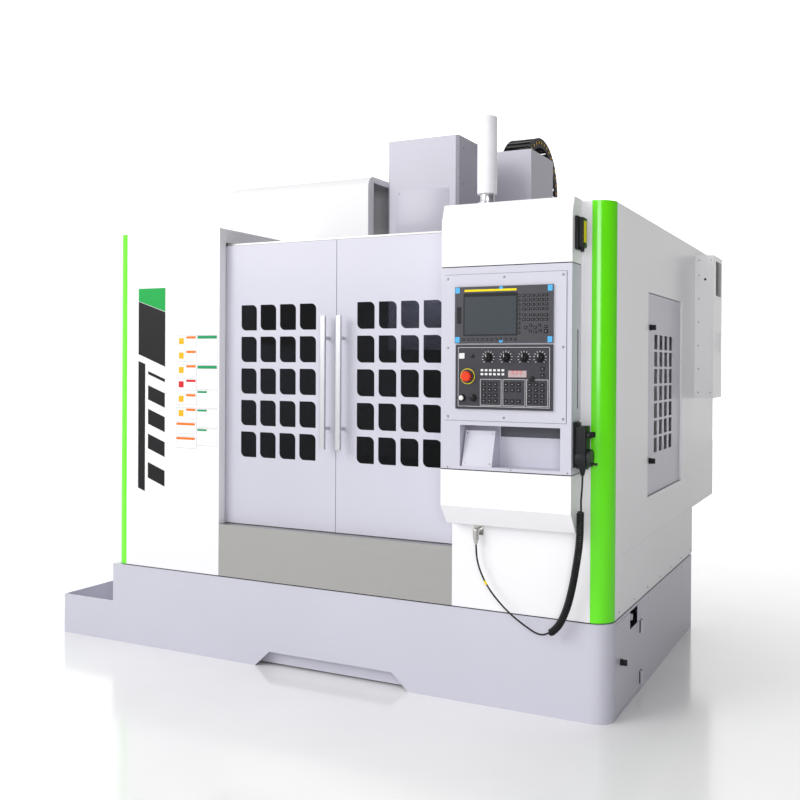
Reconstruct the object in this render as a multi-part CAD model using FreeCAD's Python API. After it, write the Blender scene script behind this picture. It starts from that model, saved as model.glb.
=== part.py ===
import FreeCAD, Part
import math
import os

# Vertical machining centre, modelled in millimetres.
# Working frame: X = 0 on the parting line of the front doors, Y = 0 on the front
# face of the base, Z = 0 on the floor.  The last section moves everything so that
# the origin is the centre of the machine's footprint, on the floor.
V = FreeCAD.Vector

# ---- driving dimensions: base and enclosure ----
BASE_HALF = 1220.0        # half width of the base
BASE_DEPTH = 1590.0
BASE_HEIGHT = 374.0
BASE_WALL = 5.0
BASE_CORNER = 73.0        # radius of the front right corner
DECK_INNER = 940.0        # half width of the opening in the base's deck
TRAY_WIDTH = 320.0        # chip tray beside the base
TRAY_HEIGHT = 191.0
NOTCH_HALF_LOW = 382.0
NOTCH_HALF_TOP = 305.0
NOTCH_HEIGHT = 70.0
NOTCH_DEPTH = 46.0
SHEET = 3.0               # enclosure sheet
SEAM = 0.5                # joint between neighbouring sheets
TINY = 1e-6
SHADOW_GAP = 4.0          # dark line between the base and the panels
ENC_HALF = BASE_HALF - 4.0
ENC_FRONT = 5.0
ENC_REAR = BASE_DEPTH + 32.0
ENC_TOP = 1963.0
POST_RADIUS = 76.0        # quarter round corner posts
OPENING_LEFT = -590.0     # doorway between the two front panels
OPENING_RIGHT = 574.0
SILL_TOP = 613.0          # top of the stainless apron
CHAMBER_HALF = 950.0      # splash walls
CHAMBER_REAR = 1562.0
PAN_TOP = BASE_HEIGHT + 69.0

# ---- front doors ----
DOOR_FRONT = 54.0
DOOR_DEPTH = 30.0
DOOR_TOP = ENC_TOP - 80.0
DOOR_OVERLAP = 20.0       # hidden behind each front panel
DOOR_CLEAR = 1.5          # half the gap at the parting line
DOOR_TRAVEL = 500.0
WINDOW_WIDTH = 85.0
WINDOW_HEIGHT = 115.0
WINDOW_PITCH_X = 105.0
WINDOW_PITCH_Z = 143.5
WINDOW_ROUND = 25.0
WINDOW_COLUMNS = 4
WINDOW_ROWS = 5
WINDOW_START = 103.0      # nearest window edge to the parting line
WINDOW_TOP = DOOR_TOP - 273.0
PANE = 6.0
HANDLE_X = 39.0           # centre of each handle bar from the parting line
HANDLE_WIDTH = 25.0
HANDLE_THICK = 14.0
HANDLE_LOW = 978.0
HANDLE_HIGH = 1552.0
HANDLE_REACH = 54.0
STANDOFF_LOW = 1067.0
STANDOFF_HIGH = 1456.0

# ---- side doors ----
VENT_Y0, VENT_Y1 = 603.0, 1329.0
VENT_Z0, VENT_Z1 = 783.0, 1659.0
VENT_RECESS = 9.0
SLOT_COLUMNS = 4
SLOT_ROWS = 7
SLOT_PITCH_Y = 104.0
SLOT_PITCH_Z = 76.0
SLOT_WIDTH = 68.0
SLOT_HEIGHT = 65.0
SLOT_Y0 = VENT_Y0 + 156.0
SLOT_Z0 = VENT_Z0 + 178.0
LATCH_RADIUS = 13.0
VENT_LATCH_Y = VENT_Y0 + 69.0
VENT_LATCH_Z = (VENT_Z0 + 150.0, VENT_Z1 - 149.0)
BASE_DOOR_Y0, BASE_DOOR_Y1 = 82.0, 468.0
BASE_DOOR_Z0, BASE_DOOR_Z1 = 12.0, 362.0
BASE_LATCH_Y, BASE_LATCH_Z = BASE_DOOR_Y0 + 70.0, 203.0
BASE_HINGE_Z = (58.0, 268.0)
HINGE_RADIUS, HINGE_LENGTH = 7.0, 50.0
HINGE_OUT = 7.5           # hinge pin out from the base's side
AIR_NOTCH_Y0, AIR_NOTCH_Y1 = 300.0, 430.0
AIR_NOTCH_Z0 = 292.0
AIR_BORE = 6.6
AIR_LENGTH = 18.0

# ---- electrical cabinet ----
CAB_X0 = 415.0
CAB_DEPTH = 620.0
CAB_BOTTOM = 612.0
COOLER_Y0, COOLER_Y1 = 1653.0, 1920.0
COOLER_Z0, COOLER_Z1 = 1178.0, 1921.0
COOLER_THICK = 96.0
COOLER_CUT = 4.0          # depth of its window recess and louvres
COOLER_WINDOW_Z0, COOLER_WINDOW_Z1 = 1715.0, 1895.0
LOUVRES = 8
LOUVRE_Z0, LOUVRE_PITCH, LOUVRE_HEIGHT = 1420.0, 13.0, 6.0

# ---- control box ----
BOX_X0, BOX_X1 = 575.0, 1100.0
BOX_FRONT = -111.0
BOX_BACK = 4.5
BOX_Z0, BOX_Z1 = 941.0, 1720.0
BOX_GAP = 4.0
COVER_TOP, COVER_FOLD, COVER_TOP_FRONT = ENC_TOP + 4.0, ENC_TOP - 61.0, -88.0
CHIN_BOTTOM, CHIN_FOLD, CHIN_FRONT = 720.0, 796.0, -53.0
FASCIA_X0, FASCIA_X1 = 592.0, 1080.0
FASCIA_Z0, FASCIA_Z1 = 1130.0, 1691.0
DISPLAY_X0, DISPLAY_X1 = 637.0, 1031.0
DISPLAY_Z0, DISPLAY_Z1 = 1427.0, 1643.0
PANEL_X0, PANEL_X1 = 641.0, 1031.0
PANEL_Z0, PANEL_Z1 = 1175.0, 1421.0
SHELF_X0, SHELF_X1 = 656.0, 1058.0
SHELF_Z0, SHELF_Z1 = 953.0, 1112.0
SHELF_DEPTH = 92.0
PORT_WIDTH = 124.0        # sloped port cover at the shelf's left
GRIP_Y0, GRIP_Y1 = -42.0, -26.0
GRIP_Z0, GRIP_Z1 = 1184.0, 1479.0
BOX_SHEET = 2.0
BEZEL_LAP = 8.0           # how far each bezel overlaps its cut-out
PANEL_THICK = 8.0
KEY_TRAVEL = 1.0
KEY_GAP = 0.4
KNOB_RADIUS = 15.0
KNOB_Z = 1372.0
KNOB_X = {"mode_knob": 776.0, "rapid_knob": 848.0, "feed_knob": 920.0, "spindle_knob": 982.0}
ESTOP_X, ESTOP_Z, ESTOP_RADIUS = 692.0, 1300.0, 20.0
ESTOP_TRAVEL = 4.0
ESTOP_COLLAR, ESTOP_STEM = 27.0, 12.0
START_BUTTON, STOP_BUTTON, BUTTON_RADIUS = (669.0, 1217.0), (715.0, 1218.0), 13.0
LOCK_X, LOCK_Z, LOCK_RADIUS = 950.0, 1292.0, 11.0
KNOB_SHAFT = 4.0
TURN_FIT = 0.05

# ---- signal light ----
LIGHT_X, LIGHT_Y = 742.0, -58.0
LIGHT_RADIUS, LIGHT_HEIGHT = 38.0, 298.0
NECK_RADIUS, NECK_HEIGHT = 26.0, 38.0

# ---- hand pendant and its cord ----
PENDANT_Y0, PENDANT_Y1 = -100.0, -20.0
PENDANT_Z0, PENDANT_Z1 = 955.0, 1122.0
PENDANT_X0, PENDANT_THICK = 1106.0, 44.0
WHEEL_Z, WHEEL_RADIUS = 1003.0, 33.0
SELECTOR_Z, SELECTOR_RADIUS = 1088.0, 11.0
GLAND = 20.0
CORD_DIAMETER = 7.0
CURL_DIAMETER = 30.0
SOCKET_X, SOCKET_Z = 690.0, 692.0
PLUG_RADIUS = 12.0
CORD_ROUTE = [
    (1128, -60, 935), (1128, -60, 890), (1122, -61, 842), (1119, -57, 772),
    (1117, -54, 688), (1104, -52, 600), (1088, -49, 512), (1066, -46, 428),
    (1030, -44, 352), (968, -42, 312), (905, -41, 345), (845, -38, 380),
    (788, -36, 428), (738, -33, 484), (704, -29, 548), (690, -24, 600), (690, -24, 638),
]
CURL_FIRST_RUN = 2        # the curly stretch starts half way along this run
CURL_LAST_RUN = 8         # and ends half way along this one

# ---- machine inside ----
BED_HALF = 420.0
BED_Y0, BED_Y1 = 420.0, 1790.0
BED_TOP = 500.0
FOOT_HEIGHT = 20.0
SPINDLE_Y = 1020.0
COLUMN_HALF = 300.0
COLUMN_FRONT = CHAMBER_REAR - 2.0
COLUMN_REAR = 1781.0
COLUMN_WAY_LOW = 880.0
WAY_HEIGHT = 60.0
SLIDE_GAP = 0.3
SADDLE_HALF_X = 420.0
SADDLE_HALF_Y = 240.0
SADDLE_THICK = 80.0
SADDLE_WAY = 50.0
TABLE_HALF_X = 500.0
TABLE_HALF_Y = 250.0
TABLE_THICK = 139.7
T_SLOT = 18.0
T_SLOT_PITCH = 90.0
X_TRAVEL = 375.0
Y_TRAVEL = 250.0
Z_DOWN, Z_UP = 320.0, 180.0
X_SCREW_RADIUS = 12.5
Y_SCREW_RADIUS = 14.0
Z_SCREW_RADIUS = 16.0
HEAD_HALF = 150.0
HEAD_Z0, HEAD_Z1 = 1450.0, ENC_TOP + 37.0
NOSE_Z = 1270.0
CARTRIDGE_RADIUS = 75.0
SPINDLE_RADIUS = 42.0
TAPER_LARGE, TAPER_SMALL, TAPER_DEPTH = 22.225, 12.7, 65.4
HOOD_HALF = 200.0
HOOD_FRONT, HOOD_REAR = 895.0, 1160.0
HOOD_Z0 = 1420.0
HOOD_BELOW_CAP = 12.0     # its top below the column cover's
HOOD_CHAMFER = 14.0
MAG_X0, MAG_X1 = -1145.0, -255.0
MAG_Y0, MAG_Y1 = 790.0, 1190.0
MAG_TOP = ENC_TOP + 350.0
MAG_ROUND = 60.0
DRUM_X, DRUM_Z, DRUM_RADIUS = -700.0, ENC_TOP - 63.0, 370.0
DRUM_Y0, DRUM_Y1 = 900.0, 1010.0
POTS = 20
CAP_HALF = 400.0
CAP_Y0, CAP_Y1 = 1412.0, COLUMN_REAR + SHEET
CAP_TOP = ENC_TOP + 546.0
CHAIN_X0, CHAIN_WIDTH, CHAIN_THICK = 225.0, 150.0, 56.0
CHAIN_RADIUS = 232.0      # inside of the bend
CHAIN_CENTRE_Y = 1663.0
CHAIN_BELOW_CAP = 179.0   # bend centre below the top of the column cover
CHAIN_END_Y = 1428.0      # front end, inside the column cover
CHAIN_LEG = 340.0

# ---- values worked out from the ones above ----
PANEL_BOTTOM = BASE_HEIGHT + SHADOW_GAP
COLUMN_TOP = CAP_TOP - SHEET - SLIDE_GAP
HOOD_Z1 = CAP_TOP - HOOD_BELOW_CAP
Z_BEARINGS = (COLUMN_WAY_LOW + 40.0, CAP_TOP - 189.0)
SADDLE_BOTTOM = BED_TOP + WAY_HEIGHT + SLIDE_GAP
SADDLE_TOP = SADDLE_BOTTOM + SADDLE_THICK
TABLE_BOTTOM = SADDLE_TOP + SADDLE_WAY + SLIDE_GAP
TABLE_TOP = TABLE_BOTTOM + TABLE_THICK
COLUMN_WAY_FRONT = COLUMN_FRONT - 50.0
Z_SCREW_Y = COLUMN_FRONT - 26.0
Y_SCREW_Z = BED_TOP + WAY_HEIGHT / 2 + 2.0
X_SCREW_Z = SADDLE_TOP + SADDLE_WAY / 2
FASCIA_FRONT = BOX_FRONT - SHEET
PANEL_FRONT = FASCIA_FRONT - PANEL_THICK

parts = {}


def box(x0, x1, y0, y1, z0, z1):
    return Part.makeBox(x1 - x0, y1 - y0, z1 - z0, V(x0, y0, z0))


def rod(radius, start, end):
    along = V(*end) - V(*start)
    return Part.makeCylinder(radius, along.Length, V(*start), along)


def prism(points, along):
    """A flat outline of 3-D points pushed along a vector."""
    corners = [V(*p) for p in points]
    outline = Part.makePolygon(corners + corners[:1])
    return Part.Face(outline).extrude(V(*along))


def mirrored(shape):
    return shape.mirror(V(0, 0, 0), V(1, 0, 0))


def fuse(first, *others):
    return first.multiFuse(list(others)).removeSplitter()


def edges_at(shape, **place):
    """Edges whose middle lies at the given x, y or z."""
    return [edge for edge in shape.Edges
            if all(abs(getattr(edge.CenterOfMass, axis) - value) < TINY for axis, value in place.items())]


def rounded_window(x0, z0, width, height, radius, y0, y1):
    """A rectangle with its upper right and lower left corners rounded."""
    cut = box(x0, x0 + width, y0, y1, z0, z0 + height)
    upper_right = edges_at(cut, x=x0 + width, z=z0 + height)
    lower_left = edges_at(cut, x=x0, z=z0)
    return cut.makeFillet(radius, upper_right + lower_left)


def add(name, shape):
    parts[name] = shape


# ---- base ----
def base_skirt():
    """Welded sheet base with the chip tray on its left, one front plate across both."""
    outer = box(-BASE_HALF, BASE_HALF, 0, BASE_DEPTH, 0, BASE_HEIGHT)
    outer = outer.makeFillet(BASE_CORNER, edges_at(outer, x=BASE_HALF, y=0))
    inner = box(-BASE_HALF + BASE_WALL, BASE_HALF - BASE_WALL, BASE_WALL, BASE_DEPTH - BASE_WALL,
                -1, BASE_HEIGHT - BASE_WALL)
    corner = edges_at(inner, x=BASE_HALF - BASE_WALL, y=BASE_WALL)
    inner = inner.makeFillet(BASE_CORNER - BASE_WALL, corner)
    deck_hole = box(-DECK_INNER, DECK_INNER, 60, BASE_DEPTH - 28,
                    BASE_HEIGHT - 2 * BASE_WALL, BASE_HEIGHT + 1)
    bed_gap = box(-BED_HALF - 30, BED_HALF + 30, BASE_DEPTH - 60, BASE_DEPTH + 1, -1, BASE_HEIGHT + 1)
    skirt = outer.cut(inner).cut(deck_hole).cut(bed_gap)
    notch = prism([(-NOTCH_HALF_LOW, -1, -1), (NOTCH_HALF_LOW, -1, -1), (NOTCH_HALF_LOW, -1, 0),
                   (NOTCH_HALF_TOP, -1, NOTCH_HEIGHT), (-NOTCH_HALF_TOP, -1, NOTCH_HEIGHT),
                   (-NOTCH_HALF_LOW, -1, 0)], (0, BASE_WALL + 2, 0))
    skirt = skirt.cut(notch)
    kick_top = NOTCH_HEIGHT + 20
    reach = NOTCH_HALF_LOW + 20
    kick = fuse(box(-reach, reach, NOTCH_DEPTH, NOTCH_DEPTH + BASE_WALL, 8, kick_top),
                box(-reach, reach, BASE_WALL - 1, NOTCH_DEPTH + 1, kick_top - BASE_WALL, kick_top))
    tray_x0 = -BASE_HALF - TRAY_WIDTH
    tray = box(tray_x0, -BASE_HALF + 1, 0, BASE_DEPTH, 0, TRAY_HEIGHT)
    tray = tray.cut(box(tray_x0 + BASE_WALL, -BASE_HALF, BASE_WALL, BASE_DEPTH - BASE_WALL,
                        BASE_WALL, TRAY_HEIGHT + 1))
    grip = box(tray_x0 - 14, tray_x0 + 1, 40, 220, 66, 116)
    slope = prism([(tray_x0 - 15, 30, 92), (tray_x0 - 15, 30, 130), (tray_x0 + 0.1, 30, 117)], (0, 200, 0))
    skirt = fuse(skirt, kick, tray, grip.cut(slope))
    door_hole = box(BASE_HALF - BASE_WALL - 1, BASE_HALF + 1, BASE_DOOR_Y0 - 2, BASE_DOOR_Y1 + 2,
                    BASE_DOOR_Z0 - 2, BASE_DOOR_Z1 + 2)
    skirt = skirt.cut(door_hole)
    return skirt.fuse(air_inlet()).removeSplitter()


def air_inlet():
    """Air fitting on a bracket behind the small door's cut-out, its thread facing right."""
    y = (AIR_NOTCH_Y0 + AIR_NOTCH_Y1) / 2
    z = AIR_NOTCH_Z0 + 35
    bracket = box(BASE_HALF - 44, BASE_HALF - 38, y - 40, y + 40, z - 30, BASE_HEIGHT - 1)
    boss = rod(14, (BASE_HALF - 39, y, z), (BASE_HALF - 8, y, z))
    bore = rod(AIR_BORE, (BASE_HALF - 8 - AIR_LENGTH, y, z), (BASE_HALF, y, z))
    return fuse(bracket, boss).cut(bore)


def bed_casting():
    """Iron bed with feet, the two ways for the saddle and the bearings of its screw."""
    bed = box(-BED_HALF, BED_HALF, BED_Y0, BED_Y1, FOOT_HEIGHT, BED_TOP)
    feet = [box(x - 60, x + 60, y - 60, y + 60, 0, FOOT_HEIGHT + 1)
            for x in (-BED_HALF + 80, BED_HALF - 80)
            for y in (BED_Y0 + 80, (BED_Y0 + BED_Y1) / 2, BED_Y1 - 80)]
    ways = [box(x - 35, x + 35, BED_Y0 + 60, COLUMN_FRONT - 40, BED_TOP - 1, BED_TOP + WAY_HEIGHT)
            for x in (-315, 315)]
    bearings = [box(-45, 45, y - 15, y + 15, BED_TOP - 1, Y_SCREW_Z + 24) for y in y_bearings()]
    bed = fuse(bed, *feet, *ways, *bearings)
    bore = rod(Y_SCREW_RADIUS + TURN_FIT, (0, BED_Y0, Y_SCREW_Z), (0, COLUMN_FRONT - 20, Y_SCREW_Z))
    return bed.cut(bore)


def y_bearings():
    return (BED_Y0 + 50, COLUMN_FRONT - 60)


def y_motor():
    """Servo motor of the Y screw, bolted in front of its bearing."""
    front = y_bearings()[0] - 15.3
    return box(-48, 48, front - 150, front, BED_TOP + 0.3, BED_TOP + 96.3)


def column_casting():
    """Column with two box ways, the bearings of the vertical screw and a motor bracket."""
    column = box(-COLUMN_HALF, COLUMN_HALF, COLUMN_FRONT, COLUMN_REAR, BED_TOP + 0.3, COLUMN_TOP)
    core = box(-COLUMN_HALF + 40, COLUMN_HALF - 40, COLUMN_FRONT + 40, COLUMN_REAR + 1,
               COLUMN_WAY_LOW - 120, CAP_TOP - 609)
    ways = [box(x - 30, x + 30, COLUMN_WAY_FRONT, COLUMN_FRONT + 1, COLUMN_WAY_LOW, Z_BEARINGS[1] - 20)
            for x in (-180, 180)]
    bearings = [box(-50, 50, COLUMN_WAY_FRONT + 2, COLUMN_FRONT + 1, z - 15, z + 15) for z in Z_BEARINGS]
    column = fuse(column.cut(core), *ways, *bearings)
    low, high = COLUMN_WAY_LOW - 30, Z_BEARINGS[1] + 80
    return column.cut(rod(Z_SCREW_RADIUS + TURN_FIT, (0, Z_SCREW_Y, low), (0, Z_SCREW_Y, high)))


def z_motor():
    bottom = Z_BEARINGS[1] + 15.3
    return box(-48, 48, COLUMN_FRONT - 96.3, COLUMN_FRONT - SLIDE_GAP, bottom, bottom + 150)


# ---- slides ----
def saddle():
    top_ways = [box(-SADDLE_HALF_X, SADDLE_HALF_X, SPINDLE_Y + y - 30, SPINDLE_Y + y + 30,
                    SADDLE_TOP - 1, SADDLE_TOP + SADDLE_WAY) for y in (-160, 160)]
    plate = box(-SADDLE_HALF_X, SADDLE_HALF_X, SPINDLE_Y - SADDLE_HALF_Y, SPINDLE_Y + SADDLE_HALF_Y,
                SADDLE_BOTTOM, SADDLE_TOP)
    nut = box(-40, 40, SPINDLE_Y - 35, SPINDLE_Y + 35, BED_TOP + 4, SADDLE_BOTTOM + 1)
    ends = [box(x - 12, x + 12, SPINDLE_Y - 45, SPINDLE_Y + 45, SADDLE_BOTTOM, X_SCREW_Z + 22)
            for x in x_bearings()]
    body = fuse(plate, nut, *top_ways, *ends)
    y_bore = rod(Y_SCREW_RADIUS + TURN_FIT, (0, SPINDLE_Y - 60, Y_SCREW_Z), (0, SPINDLE_Y + 60, Y_SCREW_Z))
    x_bore = rod(X_SCREW_RADIUS + TURN_FIT, (-500, SPINDLE_Y, X_SCREW_Z), (500, SPINDLE_Y, X_SCREW_Z))
    return body.cut(y_bore).cut(x_bore)


def x_bearings():
    return (-SADDLE_HALF_X - 11, SADDLE_HALF_X + 11)


def x_motor():
    left = x_bearings()[1] + 12.3
    return box(left, left + 140, SPINDLE_Y - 48, SPINDLE_Y + 48, X_SCREW_Z - 74, X_SCREW_Z + 22)


def table():
    """Table with five T-slots along X, a relief below for the screw and a nut bracket."""
    top = box(-TABLE_HALF_X, TABLE_HALF_X, SPINDLE_Y - TABLE_HALF_Y, SPINDLE_Y + TABLE_HALF_Y,
              TABLE_BOTTOM, TABLE_TOP)
    relief = box(-TABLE_HALF_X - 1, TABLE_HALF_X + 1, SPINDLE_Y - 80, SPINDLE_Y + 80,
                 TABLE_BOTTOM - 1, TABLE_BOTTOM + 45)
    top = top.cut(relief)
    for slot in range(-2, 3):
        y = SPINDLE_Y + slot * T_SLOT_PITCH
        reach = TABLE_HALF_X + 1
        top = top.cut(box(-reach, reach, y - T_SLOT / 2, y + T_SLOT / 2, TABLE_TOP - 36, TABLE_TOP + 1))
        top = top.cut(box(-reach, reach, y - 16, y + 16, TABLE_TOP - 36, TABLE_TOP - 22))
    nut = box(-35, 35, SPINDLE_Y - 32, SPINDLE_Y + 32, SADDLE_TOP + 4, TABLE_BOTTOM + 46)
    bore = rod(X_SCREW_RADIUS + TURN_FIT, (-60, SPINDLE_Y, X_SCREW_Z), (60, SPINDLE_Y, X_SCREW_Z))
    return fuse(top, nut).cut(bore)


def screws():
    front, rear = y_bearings()
    low, high = Z_BEARINGS
    add("y_screw", rod(Y_SCREW_RADIUS, (0, front - 14, Y_SCREW_Z), (0, rear + 14, Y_SCREW_Z)))
    add("x_screw", rod(X_SCREW_RADIUS, (x_bearings()[0] - 11, SPINDLE_Y, X_SCREW_Z),
                       (x_bearings()[1] + 11, SPINDLE_Y, X_SCREW_Z)))
    add("z_screw", rod(Z_SCREW_RADIUS, (0, Z_SCREW_Y, low - 14), (0, Z_SCREW_Y, high + 14)))


def head_casting():
    """Spindle head: body, neck back to the column, slide plate, nut and spindle cartridge."""
    body = box(-HEAD_HALF, HEAD_HALF, HOOD_FRONT + 40, HOOD_REAR + 1, HEAD_Z0, HEAD_Z1)
    neck = box(-HEAD_HALF + 20, HEAD_HALF - 20, HOOD_REAR, COLUMN_WAY_FRONT - 40, HEAD_Z0, HEAD_Z1 - 60)
    plate = box(-215, 215, COLUMN_WAY_FRONT - 41, COLUMN_WAY_FRONT - SLIDE_GAP, HEAD_Z0, HEAD_Z1 - 10)
    nut = box(-42, 42, COLUMN_WAY_FRONT - 1, COLUMN_FRONT - 2, 1640, 1740)
    cartridge = rod(CARTRIDGE_RADIUS, (0, SPINDLE_Y, NOSE_Z + 30), (0, SPINDLE_Y, HEAD_Z0 + 1))
    reach = HOOD_HALF - SHEET - SLIDE_GAP
    tabs = box(-reach, reach, SPINDLE_Y - 40, SPINDLE_Y + 40, HEAD_Z1 - 60, HEAD_Z1 - 40)
    head = fuse(body, neck, plate, nut, cartridge, tabs)
    head = head.cut(rod(SPINDLE_RADIUS + TURN_FIT, (0, SPINDLE_Y, NOSE_Z), (0, SPINDLE_Y, HEAD_Z1 + 1)))
    return head.cut(rod(Z_SCREW_RADIUS + TURN_FIT, (0, Z_SCREW_Y, HEAD_Z0), (0, Z_SCREW_Y, HEAD_Z1)))


def spindle_motor():
    return rod(88, (0, SPINDLE_Y, HEAD_Z1 + SLIDE_GAP), (0, SPINDLE_Y, HOOD_Z1 - 97))


def spindle():
    shaft = rod(SPINDLE_RADIUS, (0, SPINDLE_Y, NOSE_Z + 4), (0, SPINDLE_Y, HEAD_Z1 - 8))
    nose = rod(SPINDLE_RADIUS + 10, (0, SPINDLE_Y, NOSE_Z), (0, SPINDLE_Y, NOSE_Z + 29))
    taper = Part.makeCone(TAPER_LARGE, TAPER_SMALL, TAPER_DEPTH, V(0, SPINDLE_Y, NOSE_Z), V(0, 0, 1))
    throat = rod(TAPER_SMALL, (0, SPINDLE_Y, NOSE_Z + TAPER_DEPTH - 1), (0, SPINDLE_Y, NOSE_Z + 140))
    reach = SPINDLE_RADIUS + 8
    keys = box(-reach, reach, SPINDLE_Y - 8, SPINDLE_Y + 8, NOSE_Z - 8, NOSE_Z + 6)
    keys = keys.cut(rod(TAPER_LARGE + 2, (0, SPINDLE_Y, NOSE_Z - 9), (0, SPINDLE_Y, NOSE_Z + 7)))
    return fuse(shaft, nose, keys).cut(taper).cut(throat)


def head_cover():
    """Folded hood over the spindle head, open below and behind."""
    c = HOOD_CHAMFER
    outline = [(-HOOD_HALF, HOOD_REAR), (-HOOD_HALF, HOOD_FRONT + c), (-HOOD_HALF + c, HOOD_FRONT),
               (HOOD_HALF - c, HOOD_FRONT), (HOOD_HALF, HOOD_FRONT + c), (HOOD_HALF, HOOD_REAR)]
    outer = prism([(x, y, HOOD_Z0) for x, y in outline], (0, 0, HOOD_Z1 - HOOD_Z0))
    t = SHEET
    outline = [(-HOOD_HALF + t, HOOD_REAR + 1), (-HOOD_HALF + t, HOOD_FRONT + c + t / 2),
               (-HOOD_HALF + c + t / 2, HOOD_FRONT + t), (HOOD_HALF - c - t / 2, HOOD_FRONT + t),
               (HOOD_HALF - t, HOOD_FRONT + c + t / 2), (HOOD_HALF - t, HOOD_REAR + 1)]
    inner = prism([(x, y, HOOD_Z0 - 1) for x, y in outline], (0, 0, HOOD_Z1 - HOOD_Z0 + 1 - t))
    return outer.cut(inner)


# ---- tool magazine ----
def magazine_cover():
    """Rounded hood of the tool magazine with the carrier plate and shaft of its drum."""
    bottom = ENC_TOP + SLIDE_GAP
    outer = box(MAG_X0, MAG_X1, MAG_Y0, MAG_Y1, bottom, MAG_TOP)
    t = SHEET
    inner = box(MAG_X0 + t, MAG_X1 - t, MAG_Y0 + t, MAG_Y1 - t, bottom - 1, MAG_TOP - t)
    rim = edges_at(outer, z=MAG_TOP, y=MAG_Y0) + edges_at(outer, z=MAG_TOP, x=MAG_X0)
    outer = outer.makeFillet(MAG_ROUND, rim)
    under = MAG_TOP - t
    rim = edges_at(inner, z=under, y=MAG_Y0 + t) + edges_at(inner, z=under, x=MAG_X0 + t)
    inner = inner.makeFillet(MAG_ROUND - t, rim)
    window = box(MAG_X1 - t - 1, MAG_X1 + 1, MAG_Y0 + 60, MAG_Y1 - 30, bottom - 1, MAG_TOP - 30)
    plate = fuse(box(DRUM_X - 80, DRUM_X + 80, MAG_Y1 - 26, MAG_Y1 - 14, DRUM_Z - 60, MAG_TOP - 40),
                 box(DRUM_X - 80, DRUM_X + 80, MAG_Y1 - 15, MAG_Y1 - t + 0.5, ENC_TOP + 6, MAG_TOP - 40))
    shaft = rod(30, (DRUM_X, DRUM_Y0 - 8, DRUM_Z), (DRUM_X, MAG_Y1 - 16, DRUM_Z))
    return fuse(outer.cut(inner).cut(window), plate, shaft)


def tool_magazine():
    """Drum with its ring of tool pots."""
    disc = rod(DRUM_RADIUS - 50, (DRUM_X, DRUM_Y0 + 30, DRUM_Z), (DRUM_X, DRUM_Y1, DRUM_Z))
    pots = []
    for index in range(POTS):
        angle = 2 * math.pi * index / POTS
        x = DRUM_X + (DRUM_RADIUS - 35) * math.cos(angle)
        z = DRUM_Z + (DRUM_RADIUS - 35) * math.sin(angle)
        pots.append(rod(35, (x, DRUM_Y0, z), (x, DRUM_Y1 - 4, z)))
    drum = fuse(disc, *pots)
    return drum.cut(rod(30 + TURN_FIT, (DRUM_X, DRUM_Y0, DRUM_Z), (DRUM_X, DRUM_Y1 + 1, DRUM_Z)))


# ---- column top and cable chain ----
def column_cover():
    bottom = ENC_TOP + SHEET
    cap = box(-CAP_HALF, CAP_HALF, CAP_Y0, CAP_Y1, bottom, CAP_TOP)
    t = SHEET
    cap = cap.cut(box(-CAP_HALF + t, CAP_HALF - t, CAP_Y0 + t, CAP_Y1 - t, bottom - 1, CAP_TOP - t))
    slot = box(-235, 235, CAP_Y0 - 1, CAP_Y0 + t + 1, bottom - 1, HEAD_Z1 + Z_UP + 20)
    inside = CHAIN_CENTRE_Y - math.sqrt(CHAIN_RADIUS ** 2 - CHAIN_BELOW_CAP ** 2)
    chain_hole = box(CHAIN_X0 - 6, CHAIN_X0 + CHAIN_WIDTH + 6, CHAIN_END_Y - 8, inside + 8,
                     CAP_TOP - t - 1, CAP_TOP + 1)
    leg_face = CHAIN_CENTRE_Y + CHAIN_RADIUS - SLIDE_GAP
    bracket_z = CAP_TOP - CHAIN_BELOW_CAP - CHAIN_LEG + 40
    bracket = box(CHAIN_X0 + 20, CHAIN_X0 + CHAIN_WIDTH - 20, CAP_Y1 - 1, leg_face,
                  bracket_z, bracket_z + 30)
    return fuse(cap.cut(slot).cut(chain_hole), bracket)


def cable_chain():
    """Energy chain: out of the column cover's top in one bend and down behind it."""
    centre_z = CAP_TOP - CHAIN_BELOW_CAP
    inner_r, outer_r = CHAIN_RADIUS, CHAIN_RADIUS + CHAIN_THICK
    x1 = CHAIN_X0 + CHAIN_WIDTH
    y = CHAIN_CENTRE_Y
    ring = rod(outer_r, (CHAIN_X0, y, centre_z), (x1, y, centre_z))
    ring = ring.cut(rod(inner_r, (CHAIN_X0 - 1, y, centre_z), (x1 + 1, y, centre_z)))
    upper = box(CHAIN_X0 - 1, x1 + 1, CHAIN_END_Y, y + outer_r + 1, centre_z, centre_z + outer_r + 1)
    arch = ring.common(upper)
    leg = box(CHAIN_X0, x1, y + inner_r, y + outer_r, centre_z - CHAIN_LEG, centre_z)
    return fuse(arch, leg)


# ---- enclosure ----
def front_panel(x0, x1, edge):
    """White front sheet with a return beside the doorway; edge is the doorway's side."""
    sheet = box(x0, x1, ENC_FRONT, ENC_FRONT + SHEET, PANEL_BOTTOM, ENC_TOP)
    inward = SHEET if edge == x0 else -SHEET
    low, high = sorted((edge, edge + inward))
    doorway = box(low, high, ENC_FRONT, DOOR_FRONT - 4, PANEL_BOTTOM, ENC_TOP)
    return fuse(sheet, doorway, front_foot(x0, x1))


def front_foot(x0, x1):
    """Hidden angle that carries a front sheet just above the base."""
    y = ENC_FRONT + 24
    return fuse(box(x0 + 12, x1 - 12, ENC_FRONT + SHEET - 1, y, PANEL_BOTTOM + 4, PANEL_BOTTOM + 8),
                box(x0 + 12, x1 - 12, y - 6, y, BASE_HEIGHT, PANEL_BOTTOM + 8))


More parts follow.
